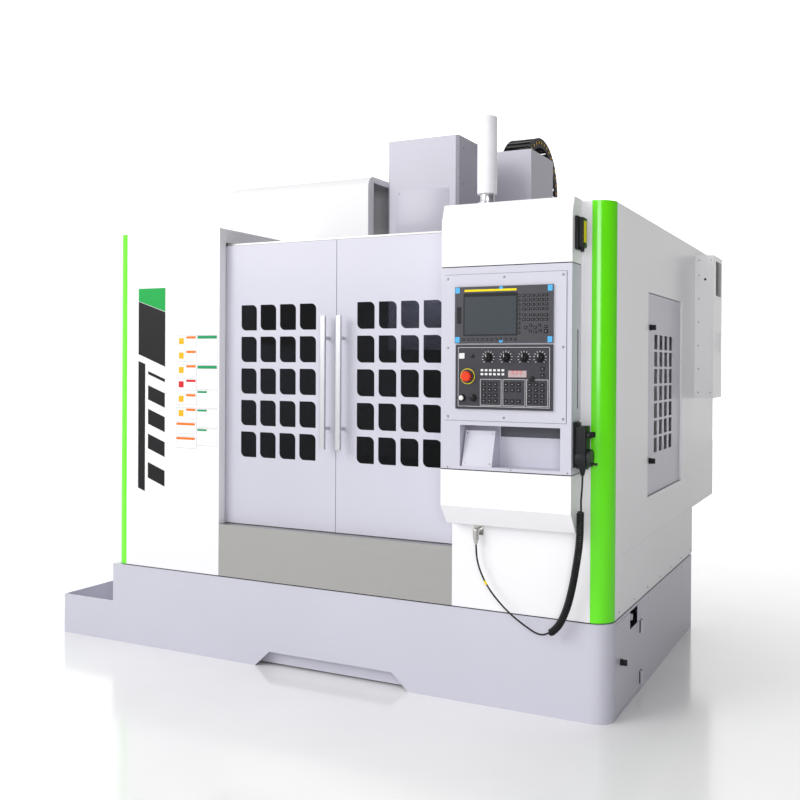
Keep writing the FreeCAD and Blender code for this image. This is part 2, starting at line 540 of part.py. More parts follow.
def corner_post():
    """Quarter round post at the right front corner, closed at the top."""
    x, y = ENC_HALF - POST_RADIUS + SEAM, ENC_FRONT + POST_RADIUS - SEAM
    quadrant = box(x, ENC_HALF + 1, ENC_FRONT - 1, y, BASE_HEIGHT - 1, ENC_TOP + 1)
    radius = POST_RADIUS - SEAM
    tube = rod(radius, (x, y, PANEL_BOTTOM), (x, y, ENC_TOP))
    tube = tube.cut(rod(radius - SHEET, (x, y, PANEL_BOTTOM - 1), (x, y, ENC_TOP - SHEET)))
    foot = rod(radius - 14, (x, y, BASE_HEIGHT), (x, y, PANEL_BOTTOM + 12))
    foot = foot.cut(rod(radius - 26, (x, y, BASE_HEIGHT - 1), (x, y, PANEL_BOTTOM + 13)))
    ring = rod(radius - 1, (x, y, PANEL_BOTTOM + 8), (x, y, PANEL_BOTTOM + 12))
    ring = ring.cut(rod(radius - 26, (x, y, PANEL_BOTTOM), (x, y, PANEL_BOTTOM + 13)))
    return fuse(tube, foot, ring).common(quadrant)


def side_shell(edge):
    """Right side sheet folded over the top to the doorway's edge and round the back."""
    x1 = ENC_HALF
    post = ENC_HALF - POST_RADIUS
    post_y = ENC_FRONT + POST_RADIUS
    side = box(x1 - SHEET, x1, post_y, ENC_REAR, PANEL_BOTTOM, ENC_TOP)
    roof = box(edge, x1, ENC_FRONT + SHEET + SEAM, ENC_REAR, ENC_TOP - SHEET, ENC_TOP)
    roof = roof.cut(box(post, x1 + 1, 0, post_y, ENC_TOP - SHEET - 1, ENC_TOP + 1))
    valance = box(edge, edge + SHEET, DOOR_FRONT - 4 + SEAM, CHAMBER_REAR - 12, DOOR_TOP + 18, ENC_TOP)
    back = box(COLUMN_HALF + 14, x1, ENC_REAR - SHEET, ENC_REAR, PANEL_BOTTOM, ENC_TOP)
    bed_hole = box(0, BED_HALF + 10, ENC_REAR - SHEET - 1, ENC_REAR + 1, PANEL_BOTTOM - 1, BED_TOP + 10)
    back = back.cut(bed_hole)
    flange = fuse(box(x1 - 24, x1 - 1, post_y + 12, ENC_REAR - 12, PANEL_BOTTOM + 4, PANEL_BOTTOM + 8),
                  box(x1 - 24, x1 - 18, post_y + 12, BASE_DEPTH - 12, BASE_HEIGHT, PANEL_BOTTOM + 8))
    return fuse(side, roof, valance, back, flange)


def right_side_panel():
    shell = side_shell(OPENING_RIGHT + SHEET + SEAM)
    x = ENC_HALF
    frame = box(x - 20, x, VENT_Y0 - SHEET, VENT_Y1 + SHEET, VENT_Z0 - SHEET, VENT_Z1 + SHEET)
    frame = frame.cut(box(x - 21, x + 1, VENT_Y0, VENT_Y1, VENT_Z0, VENT_Z1))
    stop = box(x - 20, x - VENT_RECESS - SHEET - 1, VENT_Y0 - 1, VENT_Y0 + 9, VENT_Z0, VENT_Z1)
    hole = box(x - SHEET - 1, x + 1, VENT_Y0, VENT_Y1, VENT_Z0, VENT_Z1)
    shell = fuse(shell.cut(hole), frame, stop)
    seam = box(x - 0.8, x + 1, ENC_FRONT + POST_RADIUS - 1, ENC_REAR + 1, SILL_TOP - 1.5, SILL_TOP + 1.5)
    return shell.cut(seam)


def left_side_panel():
    shell = mirrored(side_shell(-OPENING_LEFT + SHEET + SEAM))
    well = box(MAG_X0 + 10, OPENING_LEFT + 20, MAG_Y0 + 10, MAG_Y1 - 10, DOOR_TOP, ENC_TOP + 1)
    seam = box(-ENC_HALF - 1, -ENC_HALF + 0.8, ENC_FRONT + POST_RADIUS - 1, ENC_REAR + 1,
               SILL_TOP - 1.5, SILL_TOP + 1.5)
    return shell.cut(well).cut(seam)


def splash_walls():
    """Welded liner of the work chamber: two side walls, rear wall and the floor pan."""
    low, high = BASE_HEIGHT + SLIDE_GAP, ENC_TOP - SHEET - SLIDE_GAP
    front = 100.0
    rear = CHAMBER_REAR - 6.3
    t = SHEET
    left = box(-CHAMBER_HALF - t, -CHAMBER_HALF, front, rear, low, high)
    left = left.cut(box(-CHAMBER_HALF - t - 1, -CHAMBER_HALF + 1, MAG_Y0 - 5, MAG_Y1 + 5,
                        DRUM_Z - DRUM_RADIUS - 80, high + 1))
    right = box(CHAMBER_HALF, CHAMBER_HALF + t, front, rear, low, high)
    back = box(-CHAMBER_HALF, CHAMBER_HALF, rear - t, rear, low, high)
    back = back.cut(box(-COLUMN_HALF - 10, COLUMN_HALF + 10, rear - t - 1, rear + 1, PAN_TOP, high + 1))
    pan = box(-CHAMBER_HALF - t, CHAMBER_HALF + t, DOOR_FRONT, rear, PAN_TOP - t, PAN_TOP)
    pan = pan.cut(box(-BED_HALF - 6, BED_HALF + 6, 300, rear + 1, PAN_TOP - t - 1, PAN_TOP + 1))
    lip = box(-CHAMBER_HALF, CHAMBER_HALF, DOOR_FRONT, DOOR_FRONT + t, low, PAN_TOP)
    walls = fuse(left, right, back, pan, lip)
    beside_bed = BED_HALF + SLIDE_GAP
    return walls.cut(box(-beside_bed, beside_bed, rear - t - 1, rear + 1, low - 1, BED_TOP + WAY_HEIGHT + 10))


def apron_panel():
    """Brushed stainless apron below the doors; its ledge carries the doors' sill."""
    x0, x1 = OPENING_LEFT + SEAM, OPENING_RIGHT - SEAM
    face = box(x0, x1, ENC_FRONT, ENC_FRONT + SHEET, PANEL_BOTTOM, SILL_TOP)
    ledge = box(x0, x1, ENC_FRONT, DOOR_FRONT + DOOR_DEPTH, SILL_TOP - SHEET, SILL_TOP)
    return fuse(face, ledge, front_foot(x0, x1))


def door_rails():
    """Upper and lower guides that the doors run along, fixed between the splash walls."""
    back = DOOR_FRONT + DOOR_DEPTH + SLIDE_GAP
    reach = ENC_HALF - POST_RADIUS - 12
    upper = fuse(box(-reach, reach, back, 130, DOOR_TOP - 60, DOOR_TOP - 50),
                 box(-reach, reach, back, back + 6, DOOR_TOP - 60, DOOR_TOP + 10),
                 box(-reach, reach, 60, back + 6, DOOR_TOP + 2, DOOR_TOP + 10))
    lower = fuse(box(-reach, reach, back, back + 6, SILL_TOP - 40, SILL_TOP + 20),
                 box(-reach, reach, back, 130, SILL_TOP - 40, SILL_TOP - 30))
    wall = box(-CHAMBER_HALF - SHEET - 0.3, -CHAMBER_HALF + 0.3, 99.7, 131, SILL_TOP - 50, DOOR_TOP + 20)
    return Part.makeCompound([upper.cut(wall).cut(mirrored(wall)), lower.cut(wall).cut(mirrored(wall))])


def door(side):
    """Folded sheet door with its grid of windows; side is -1 for left, 1 for right."""
    outer = (-OPENING_LEFT if side < 0 else OPENING_RIGHT) + DOOR_OVERLAP
    x0, x1 = DOOR_CLEAR, outer
    low = SILL_TOP + 3
    back = DOOR_FRONT + DOOR_DEPTH
    body = box(x0, x1, DOOR_FRONT, back, low, DOOR_TOP)
    body = body.cut(box(x0 + 2, x1 - 2, DOOR_FRONT + 2, back + 1, low + 2, DOOR_TOP - 2))
    if side < 0:
        body = mirrored(body)
    for column in range(WINDOW_COLUMNS):
        for row in range(WINDOW_ROWS):
            x = WINDOW_START + column * WINDOW_PITCH_X
            x = x if side > 0 else -x - WINDOW_WIDTH
            z = WINDOW_TOP - WINDOW_HEIGHT - row * WINDOW_PITCH_Z
            body = body.cut(rounded_window(x, z, WINDOW_WIDTH, WINDOW_HEIGHT, WINDOW_ROUND,
                                           DOOR_FRONT - 1, DOOR_FRONT + 3))
    return body


def window(side):
    """Clear pane behind the door's grid."""
    margin = 30.0
    x0 = WINDOW_START - margin
    x1 = WINDOW_START + (WINDOW_COLUMNS - 1) * WINDOW_PITCH_X + WINDOW_WIDTH + margin
    z0 = WINDOW_TOP - (WINDOW_ROWS - 1) * WINDOW_PITCH_Z - WINDOW_HEIGHT - margin
    pane = box(x0, x1, DOOR_FRONT + 2.3, DOOR_FRONT + 2.3 + PANE, z0, WINDOW_TOP + margin)
    return pane if side > 0 else mirrored(pane)


def handle(side):
    """Upright bar on two short standoffs."""
    x = HANDLE_X
    front = DOOR_FRONT - HANDLE_REACH
    bar = box(x - HANDLE_WIDTH / 2, x + HANDLE_WIDTH / 2, front, front + HANDLE_THICK,
              HANDLE_LOW, HANDLE_HIGH)
    edges = [e for e in bar.Edges if abs(e.BoundBox.ZLength - (HANDLE_HIGH - HANDLE_LOW)) < TINY]
    bar = bar.makeFillet(4, edges)
    legs = [rod(8, (x, front + HANDLE_THICK - 2, z), (x, DOOR_FRONT - SLIDE_GAP, z))
            for z in (STANDOFF_LOW, STANDOFF_HIGH)]
    whole = fuse(bar, *legs)
    return whole if side > 0 else mirrored(whole)


# ---- small doors and latches ----
def base_door():
    """Service door in the base, cut away above for the air line, hinged at its rear edge."""
    x = BASE_HALF
    leaf = box(x - SHEET, x, BASE_DOOR_Y0, BASE_DOOR_Y1, BASE_DOOR_Z0, BASE_DOOR_Z1)
    leaf = leaf.cut(box(x - SHEET - 1, x + 1, AIR_NOTCH_Y0, AIR_NOTCH_Y1, AIR_NOTCH_Z0, BASE_DOOR_Z1 + 1))
    pin_x, pin_y, half = x + HINGE_OUT, BASE_DOOR_Y1 + 1, HINGE_LENGTH / 2
    hinges = []
    for z in BASE_HINGE_Z:
        hinges.append(rod(HINGE_RADIUS, (pin_x, pin_y, z - half), (pin_x, pin_y, z + half)))
        hinges.append(box(x - 1, x + 3, pin_y - 29, pin_y - 2, z - half, z + half))
        hinges.append(box(x, x + 4, pin_y - 6, pin_y, z - half, z + half))
    return fuse(leaf, *hinges).cut(latch_hole(x, BASE_LATCH_Y, BASE_LATCH_Z))


def latch_hole(x, y, z):
    return rod(LATCH_RADIUS - 3, (x - 10, y, z), (x + 10, y, z))


def latch(x, y, z, thick):
    """Quarter turn latch: stem through the sheet, round head with a grip bar, cam behind."""
    stem = rod(LATCH_RADIUS - 3.1, (x - thick - 6, y, z), (x + 1, y, z))
    head = rod(LATCH_RADIUS, (x + 0.3, y, z), (x + 9, y, z))
    grip = box(x + 8, x + 26, y - 4, y + 4, z - LATCH_RADIUS + 2, z + LATCH_RADIUS - 2)
    cam = box(x - thick - 6, x - thick - 3, y - 36, y + 8, z - 8, z + 8)
    return fuse(stem, head, grip, cam)


def vent_door():
    """Recessed ventilation door, with rows of slots, hinged at its rear edge."""
    x = ENC_HALF - VENT_RECESS
    clear = 3.0
    leaf = box(x - SHEET, x, VENT_Y0 + clear, VENT_Y1 - SEAM, VENT_Z0 + clear, VENT_Z1 - clear)
    for column in range(SLOT_COLUMNS):
        for row in range(SLOT_ROWS):
            y = SLOT_Y0 + column * SLOT_PITCH_Y
            z = SLOT_Z0 + row * SLOT_PITCH_Z
            leaf = leaf.cut(box(x - SHEET - 1, x + 1, y, y + SLOT_WIDTH, z, z + SLOT_HEIGHT))
    for z in VENT_LATCH_Z:
        leaf = leaf.cut(latch_hole(x, VENT_LATCH_Y, z))
    return leaf


# ---- electrical cabinet ----
def electrical_cabinet():
    y0 = ENC_REAR + SEAM
    y1 = ENC_REAR + CAB_DEPTH
    t = SHEET
    case = box(CAB_X0, ENC_HALF, y0, y1 - 25, CAB_BOTTOM, ENC_TOP)
    return case.cut(box(CAB_X0 + t, ENC_HALF - t, y0 + t, y1, CAB_BOTTOM + t, ENC_TOP - t))


def cabinet_door():
    y1 = ENC_REAR + CAB_DEPTH
    t = 2.0
    leaf = box(CAB_X0, ENC_HALF, y1 - 25 + SLIDE_GAP, y1, CAB_BOTTOM, ENC_TOP)
    return leaf.cut(box(CAB_X0 + t, ENC_HALF - t, y1 - 26, y1 - t, CAB_BOTTOM + t, ENC_TOP - t))


def ac_unit():
    """Cabinet cooler, one closed case with a display window and an air grille."""
    x0 = ENC_HALF + SEAM
    x1 = ENC_HALF + COOLER_THICK
    unit = box(x0, x1, COOLER_Y0, COOLER_Y1, COOLER_Z0, COOLER_Z1)
    cut = x1 - COOLER_CUT
    unit = unit.cut(box(cut, x1 + 1, COOLER_Y0 + 70, COOLER_Y1 - 35, COOLER_WINDOW_Z0, COOLER_WINDOW_Z1))
    for index in range(LOUVRES):
        z = LOUVRE_Z0 + index * LOUVRE_PITCH
        unit = unit.cut(box(cut, x1 + 1, COOLER_Y0 + 45, COOLER_Y1 - 45, z, z + LOUVRE_HEIGHT))
    return unit


# ---- control box ----
def control_box():
    """Folded steel box with the shelf recess, the sloped port cover and a grip slot."""
    t = BOX_SHEET
    shell = box(BOX_X0, BOX_X1, BOX_FRONT, BOX_BACK, BOX_Z0, BOX_Z1)
    shell = shell.cut(box(BOX_X0 + t, BOX_X1 - t, BOX_FRONT + t, BOX_BACK + 1, BOX_Z0 + t, BOX_Z1 - t))
    shell = shell.cut(bezel_holes(BOX_FRONT - 1, BOX_FRONT + 3))
    back = BOX_FRONT + SHELF_DEPTH
    pocket = box(SHELF_X0 - t, SHELF_X1 + t, BOX_FRONT + 1, back + t, SHELF_Z0 - t, SHELF_Z1 + t)
    hollow = box(SHELF_X0, SHELF_X1, BOX_FRONT - 1, back, SHELF_Z0, SHELF_Z1)
    port = prism([(SHELF_X0 + 6, BOX_FRONT + 4, SHELF_Z0 - 1), (SHELF_X0 + 6, back + 1, SHELF_Z0 - 1),
                  (SHELF_X0 + 6, back + 1, SHELF_Z1 - 22), (SHELF_X0 + 6, BOX_FRONT + 44, SHELF_Z1 - 22)],
                 (PORT_WIDTH, 0, 0))
    shell = fuse(shell, pocket).cut(hollow)
    slot = box(BOX_X1 - t - 1, BOX_X1 + 1, GRIP_Y0, GRIP_Y1, GRIP_Z0, GRIP_Z1)
    return fuse(shell, port).cut(slot)


def bezel_holes(y0, y1):
    """The cut-outs behind the display unit and the operator panel."""
    lap = BEZEL_LAP
    display = box(DISPLAY_X0 + lap, DISPLAY_X1 - lap, y0, y1, DISPLAY_Z0 + lap, DISPLAY_Z1 - lap)
    panel = box(PANEL_X0 + lap, PANEL_X1 - lap, y0, y1, PANEL_Z0 + lap, PANEL_Z1 - lap)
    return Part.makeCompound([display, panel])


def folded_cover(profile, inset):
    """Sheet cover along the control box: an outline in Y and Z, hollow and open behind."""
    outer = prism([(BOX_X0, y, z) for y, z in profile], (BOX_X1 - BOX_X0, 0, 0))
    inner = prism([(BOX_X0 + BOX_SHEET, y, z) for y, z in inset], (BOX_X1 - BOX_X0 - 2 * BOX_SHEET, 0, 0))
    return outer.cut(inner)


def control_top_cover():
    low = BOX_Z1 + BOX_GAP
    profile = [(BOX_BACK, low), (BOX_FRONT, low), (BOX_FRONT, COVER_FOLD), (COVER_TOP_FRONT, COVER_TOP),
               (BOX_BACK, COVER_TOP)]
    t = BOX_SHEET
    inset = [(BOX_BACK + 1, low + t), (BOX_FRONT + t, low + t), (BOX_FRONT + t, COVER_FOLD),
             (COVER_TOP_FRONT + t, COVER_TOP - t), (BOX_BACK + 1, COVER_TOP - t)]
    neck = box(BOX_X0 + 10, BOX_X1 - 10, BOX_FRONT + 10, BOX_BACK, BOX_Z1, low + 1)
    return folded_cover(profile, inset).fuse(neck).removeSplitter()


def control_bottom_cover():
    high = BOX_Z0 - BOX_GAP
    profile = [(BOX_BACK, high), (BOX_FRONT, high), (BOX_FRONT, CHIN_FOLD), (CHIN_FRONT, CHIN_BOTTOM),
               (BOX_BACK, CHIN_BOTTOM)]
    t = BOX_SHEET
    inset = [(BOX_BACK + 1, high - t), (BOX_FRONT + t, high - t), (BOX_FRONT + t, CHIN_FOLD),
             (CHIN_FRONT + t, CHIN_BOTTOM + t), (BOX_BACK + 1, CHIN_BOTTOM + t)]
    neck = box(BOX_X0 + 10, BOX_X1 - 10, BOX_FRONT + 10, BOX_BACK, high - 1, BOX_Z0)
    return folded_cover(profile, inset).fuse(neck).removeSplitter()


def control_fascia():
    plate = box(FASCIA_X0, FASCIA_X1, FASCIA_FRONT, BOX_FRONT, FASCIA_Z0, FASCIA_Z1)
    return plate.cut(bezel_holes(FASCIA_FRONT - 1, BOX_FRONT + 1))


def display_key_spots():
    """Centres and sizes of the display unit's keys: (x, z, width, height)."""
    spots = []
    for index in range(9):
        spots.append((899, 1604 - index * 17.3, 8, 9))
    for index in range(12):
        spots.append((673 + index * 19.2, 1441, 9, 8))
    for row in range(6):
        for column in range(6):
            spots.append((918 + column * 17.5, 1604 - row * 16.8 - (6 if row > 3 else 0), 12, 9))
    for x, z in ((925, 1484), (945, 1492), (962, 1484), (979, 1492), (943, 1472), (962, 1468), (981, 1472)):
        spots.append((x, z, 11, 9))
    spots.append((1004, 1487, 12, 9))
    spots.append((1004, 1470, 15, 14))
    return spots


def panel_key_spots():
    """Centres and sizes of the operator panel's square keys."""
    spots = []
    for x in (759, 783, 806):
        for z in (1271, 1250, 1229, 1208):
            spots.append((x, z, 15, 14))
    for x in (849, 874, 899):
        for z in (1271, 1250, 1208):
            spots.append((x, z, 15, 14))
    for x in (942, 967, 992):
        for z in (1271, 1250, 1229, 1208):
            spots.append((x, z, 15, 14))
    spots.append((668, 1378, 18, 17))
    spots.append((992, 1330, 15, 13))
    spots.append((992, 1305, 15, 13))
    return spots


def bezel_with_pockets(x0, x1, z0, z1, spots):
    """Bezel plate with a shallow pocket for each key."""
    plate = box(x0, x1, PANEL_FRONT, FASCIA_FRONT, z0, z1)
    pockets = [box(x - w / 2 - KEY_GAP, x + w / 2 + KEY_GAP, PANEL_FRONT - 1, PANEL_FRONT + 4,
                   z - h / 2 - KEY_GAP, z + h / 2 + KEY_GAP) for x, z, w, h in spots]
    return plate.cut(Part.makeCompound(pockets))


def keys(spots):
    """Keys standing proud of their pockets, each able to sink by its travel."""
    return Part.makeCompound([box(x - w / 2, x + w / 2, PANEL_FRONT - 2.0, PANEL_FRONT + 2.2,
                                  z - h / 2, z + h / 2) for x, z, w, h in spots])


def display_unit():
    plate = bezel_with_pockets(DISPLAY_X0, DISPLAY_X1, DISPLAY_Z0, DISPLAY_Z1, display_key_spots())
    body = box(DISPLAY_X0 + 10, DISPLAY_X1 - 10, FASCIA_FRONT - 1, BOX_FRONT + 60,
               DISPLAY_Z0 + 10, DISPLAY_Z1 - 10)
    return plate.fuse(body).removeSplitter()


def operator_panel():
    """Black panel with sockets for the knobs, the push buttons and the emergency stop."""
    plate = bezel_with_pockets(PANEL_X0, PANEL_X1, PANEL_Z0, PANEL_Z1, panel_key_spots())
    f, back = PANEL_FRONT, BOX_FRONT + 20
    body = box(PANEL_X0 + 10, PANEL_X1 - 10, FASCIA_FRONT - 1, back + 10, PANEL_Z0 + 10, PANEL_Z1 - 10)
    collar = rod(ESTOP_COLLAR, (ESTOP_X, f - 5, ESTOP_Z), (ESTOP_X, f + 1, ESTOP_Z))
    buttons = [rod(BUTTON_RADIUS, (x, f - 9, z), (x, f + 1, z)) for x, z in (START_BUTTON, STOP_BUTTON)]
    lock = rod(LOCK_RADIUS, (LOCK_X, f - 7, LOCK_Z), (LOCK_X, f + 1, LOCK_Z))
    panel = fuse(plate, body, collar, lock, *buttons)
    for x in KNOB_X.values():
        panel = panel.cut(rod(KNOB_SHAFT + TURN_FIT, (x, f - 1, KNOB_Z), (x, back, KNOB_Z)))
    return panel.cut(rod(ESTOP_STEM + TURN_FIT, (ESTOP_X, f - 6, ESTOP_Z), (ESTOP_X, back, ESTOP_Z)))


def rotary_knob(x):
    """Black knob with a skirt and a pointer bar on its shaft."""
    f = PANEL_FRONT
    skirt = Part.makeCone(KNOB_RADIUS + 3, KNOB_RADIUS, 5, V(x, f - SLIDE_GAP, KNOB_Z), V(0, -1, 0))
    cap = rod(KNOB_RADIUS, (x, f - 5, KNOB_Z), (x, f - 18, KNOB_Z))
    bar = box(x - 3, x + 3, f - 24, f - 17, KNOB_Z - KNOB_RADIUS + 1, KNOB_Z + KNOB_RADIUS - 1)
    shaft = rod(KNOB_SHAFT, (x, f - 1, KNOB_Z), (x, f + 16, KNOB_Z))
    return fuse(skirt, cap, bar, shaft)


def estop_button():
    """Mushroom head on a stem."""
    f = PANEL_FRONT - 5
    gap = ESTOP_TRAVEL + 0.6
    stem = rod(ESTOP_STEM, (ESTOP_X, f - gap - 1, ESTOP_Z), (ESTOP_X, f + 15, ESTOP_Z))
    head = rod(ESTOP_RADIUS, (ESTOP_X, f - gap, ESTOP_Z), (ESTOP_X, f - gap - 16, ESTOP_Z))
    return stem.fuse(head.makeFillet(6, edges_at(head, y=f - gap - 16))).removeSplitter()


def signal_light():
    """Sealed tube light on its metal neck."""
    neck = rod(NECK_RADIUS, (LIGHT_X, LIGHT_Y, COVER_TOP), (LIGHT_X, LIGHT_Y, COVER_TOP + NECK_HEIGHT))
    top = COVER_TOP + NECK_HEIGHT + LIGHT_HEIGHT
    tube = rod(LIGHT_RADIUS, (LIGHT_X, LIGHT_Y, COVER_TOP + NECK_HEIGHT), (LIGHT_X, LIGHT_Y, top))
    return neck.fuse(tube.makeFillet(4, edges_at(tube, z=top))).removeSplitter()


# ---- hand pendant ----
PENDANT_MIDDLE = (PENDANT_Y0 + PENDANT_Y1) / 2
PENDANT_FACE = PENDANT_X0 + PENDANT_THICK
SELECTOR_SHAFT, WHEEL_SHAFT = 3.0, 5.0


def pendant_holder():
    """Bent bracket on the control box with a hook above the pendant."""
    plate = box(BOX_X1 + SLIDE_GAP, PENDANT_X0 - SLIDE_GAP, PENDANT_Y0 + 8, PENDANT_Y1 - 8,
                PENDANT_Z0 + 12, PENDANT_Z1 + 14)
    hook = box(BOX_X1 + SLIDE_GAP, PENDANT_X0 + 14, PENDANT_MIDDLE - 9, PENDANT_MIDDLE + 9,
               PENDANT_Z1 + SLIDE_GAP, PENDANT_Z1 + 12)
    return fuse(plate, hook)


def pendant_body():
    body = box(PENDANT_X0, PENDANT_FACE, PENDANT_Y0, PENDANT_Y1, PENDANT_Z0, PENDANT_Z1)
    edges = [e for e in body.Edges if abs(e.BoundBox.XLength - PENDANT_THICK) < TINY]
    body = body.makeFillet(12, edges)
    gland = Part.makeCone(11, 6, GLAND + 1, V(PENDANT_X0 + 22, PENDANT_MIDDLE, PENDANT_Z0 + 1), V(0, 0, -1))
    body = body.fuse(gland).removeSplitter()
    for y in selectors().values():
        body = body.cut(socket(SELECTOR_SHAFT, y, SELECTOR_Z))
    return body.cut(socket(WHEEL_SHAFT, PENDANT_MIDDLE, WHEEL_Z))


def socket(shaft_radius, y, z):
    """Hole in the pendant's face that a shaft turns in."""
    return rod(shaft_radius + TURN_FIT, (PENDANT_FACE - 12, y, z), (PENDANT_FACE + 1, y, z))


def selectors():
    return {"pendant_axis_knob": PENDANT_MIDDLE - 20, "pendant_step_knob": PENDANT_MIDDLE + 20}


def selector_knob(y):
    f = PENDANT_FACE
    cap = rod(SELECTOR_RADIUS, (f + SLIDE_GAP, y, SELECTOR_Z), (f + 15, y, SELECTOR_Z))
    bar = box(f + 14, f + 20, y - 2.5, y + 2.5, SELECTOR_Z - 10, SELECTOR_Z + 10)
    shaft = rod(SELECTOR_SHAFT, (f - 10, y, SELECTOR_Z), (f + 1, y, SELECTOR_Z))
    return fuse(cap, bar, shaft)


def pendant_wheel():
    f = PENDANT_FACE
    rim = rod(WHEEL_RADIUS, (f + SLIDE_GAP, PENDANT_MIDDLE, WHEEL_Z), (f + 13, PENDANT_MIDDLE, WHEEL_Z))
    shaft = rod(WHEEL_SHAFT, (f - 10, PENDANT_MIDDLE, WHEEL_Z), (f + 1, PENDANT_MIDDLE, WHEEL_Z))
    crank_z = WHEEL_Z - 22
    crank = rod(5, (f + 12, PENDANT_MIDDLE, crank_z), (f + 34, PENDANT_MIDDLE, crank_z))
    return fuse(rim, shaft, crank)


# ---- cord ----
def corner_arc(before, point, after):
    """Start, middle, end and radius of the arc that rounds one point of the route."""
    back, ahead = before - point, after - point
    turn = math.pi - back.getAngle(ahead)
    reach = 0.45 * min(back.Length, ahead.Length)
    radius = reach / math.tan(turn / 2)
    back.normalize()
    ahead.normalize()
    inward = back + ahead
    inward.normalize()
    middle = point + inward * (radius / math.cos(turn / 2) - radius)
    return point + back * reach, middle, point + ahead * reach, radius


def route_tube(first_run, first_part, last_run, last_part, diameter):
    """Tube along the cord's route between two places, each a run and a share of it."""
    route = [V(*p) for p in CORD_ROUTE]
    here = route[first_run] + (route[first_run + 1] - route[first_run]) * first_part
    end = route[last_run] + (route[last_run + 1] - route[last_run]) * last_part
    direction = route[first_run + 1] - route[first_run]
    start = here
    edges = []
    radii = []
    for index in range(first_run + 1, last_run + 1):
        low, middle, high, radius = corner_arc(route[index - 1], route[index], route[index + 1])
        edges.append(Part.LineSegment(here, low).toShape())
        edges.append(Part.Arc(low, middle, high).toShape())
        radii.append(round(radius))
        here = high
    edges.append(Part.LineSegment(here, end).toShape())
    path = Part.Wire(edges)
    section = Part.Wire(Part.makeCircle(diameter / 2, start, direction))
    tube = path.makePipeShell([section], True, True)
    share = tube.Volume / (math.pi * diameter ** 2 / 4 * path.Length)
    print("cord bends", radii, "length", round(path.Length), "volume share", round(share, 4))
    return tube


def cord():
    last = len(CORD_ROUTE) - 2
    add("cord_lead", route_tube(0, 0, CURL_FIRST_RUN, 0.5, CORD_DIAMETER))
    add("cord_curl", route_tube(CURL_FIRST_RUN, 0.5, CURL_LAST_RUN, 0.5, CURL_DIAMETER))
    add("cord_tail", route_tube(CURL_LAST_RUN, 0.5, last, 1, CORD_DIAMETER))


def cord_plug():
    """Screwed elbow connector: flange on the panel, stub, upright barrel and its nut."""
    end_x, end_y, end_z = CORD_ROUTE[-1]
    flange = box(SOCKET_X - 20, SOCKET_X + 20, ENC_FRONT - 3 - SLIDE_GAP, ENC_FRONT - SLIDE_GAP,
                 SOCKET_Z - 20, SOCKET_Z + 20)
    stub = rod(PLUG_RADIUS, (SOCKET_X, ENC_FRONT - 2, SOCKET_Z), (SOCKET_X, end_y, SOCKET_Z))
    elbow = Part.makeSphere(PLUG_RADIUS, V(SOCKET_X, end_y, SOCKET_Z))
    barrel = rod(PLUG_RADIUS, (SOCKET_X, end_y, SOCKET_Z), (SOCKET_X, end_y, SOCKET_Z - 34))
    nut_top = V(SOCKET_X, end_y, SOCKET_Z - 33)
    nut = Part.makeCone(PLUG_RADIUS - 1, 5, nut_top.z - end_z, nut_top, V(0, 0, -1))
    return fuse(flange, stub, elbow, barrel, nut)


def build():
    add("bed_with_y_motor", Part.makeCompound([bed_casting(), y_motor()]))
    add("column_with_z_motor", Part.makeCompound([column_casting(), z_motor()]))
    add("base_skirt", base_skirt())
    add("saddle_with_x_motor", Part.makeCompound([saddle(), x_motor()]))
    add("table", table())
    screws()
    add("head_with_spindle_motor", Part.makeCompound([head_casting(), spindle_motor()]))
    add("spindle", spindle())
    add("head_cover", head_cover())
    add("magazine_cover", magazine_cover())
    add("tool_magazine", tool_magazine())
    add("column_cover", column_cover())
    add("cable_chain", cable_chain())
    post = ENC_HALF - POST_RADIUS
    add("left_front_panel", front_panel(-post, OPENING_LEFT, OPENING_LEFT))
    add("right_front_panel", front_panel(OPENING_RIGHT, post, OPENING_RIGHT))
    add("corner_posts", Part.makeCompound([corner_post(), mirrored(corner_post())]))
    add("left_side_panel", left_side_panel())
    add("right_side_panel", right_side_panel())
    add("splash_walls", splash_walls())
    add("apron_panel", apron_panel())
    add("door_rails", door_rails())
    for side, name in ((-1, "left"), (1, "right")):
        add("door_" + name, door(side))
        add("window_" + name, window(side))
        add("handle_" + name, handle(side))
    add("base_door", base_door())
    add("base_door_latch", latch(BASE_HALF, BASE_LATCH_Y, BASE_LATCH_Z, SHEET))
    add("vent_door", vent_door())
    for z, name in zip(VENT_LATCH_Z, ("lower", "upper")):
        add("vent_latch_" + name, latch(ENC_HALF - VENT_RECESS, VENT_LATCH_Y, z, SHEET))
    add("electrical_cabinet", electrical_cabinet())
    add("cabinet_door", cabinet_door())
    add("ac_unit", ac_unit())
    add("control_box", control_box())
    add("control_top_cover", control_top_cover())
    add("control_bottom_cover", control_bottom_cover())
    add("control_fascia", control_fascia())
    add("display_unit", display_unit())
    add("display_keys", keys(display_key_spots()))
    add("operator_panel", operator_panel())
    add("panel_keys", keys(panel_key_spots()))
    add("estop_button", estop_button())
    for name, x in KNOB_X.items():
        add(name, rotary_knob(x))
    add("signal_light", signal_light())
    add("pendant_holder", pendant_holder())
    add("pendant_body", pendant_body())
    add("pendant_wheel", pendant_wheel())
    for name, y in selectors().items():
        add(name, selector_knob(y))
    cord()
    add("cord_plug", cord_plug())


CORD_NODES = ("cord_lead", "cord_curl", "cord_tail", "cord_plug")


def to_footprint_centre():
    """The move that puts the origin under the middle of the machine, on the floor."""
    whole = FreeCAD.BoundBox()
    for name, shape in parts.items():
        if name not in CORD_NODES:
            whole.add(shape.BoundBox)
    return V(-(whole.XMin + whole.XMax) / 2, -(whole.YMin + whole.YMax) / 2, -whole.ZMin)


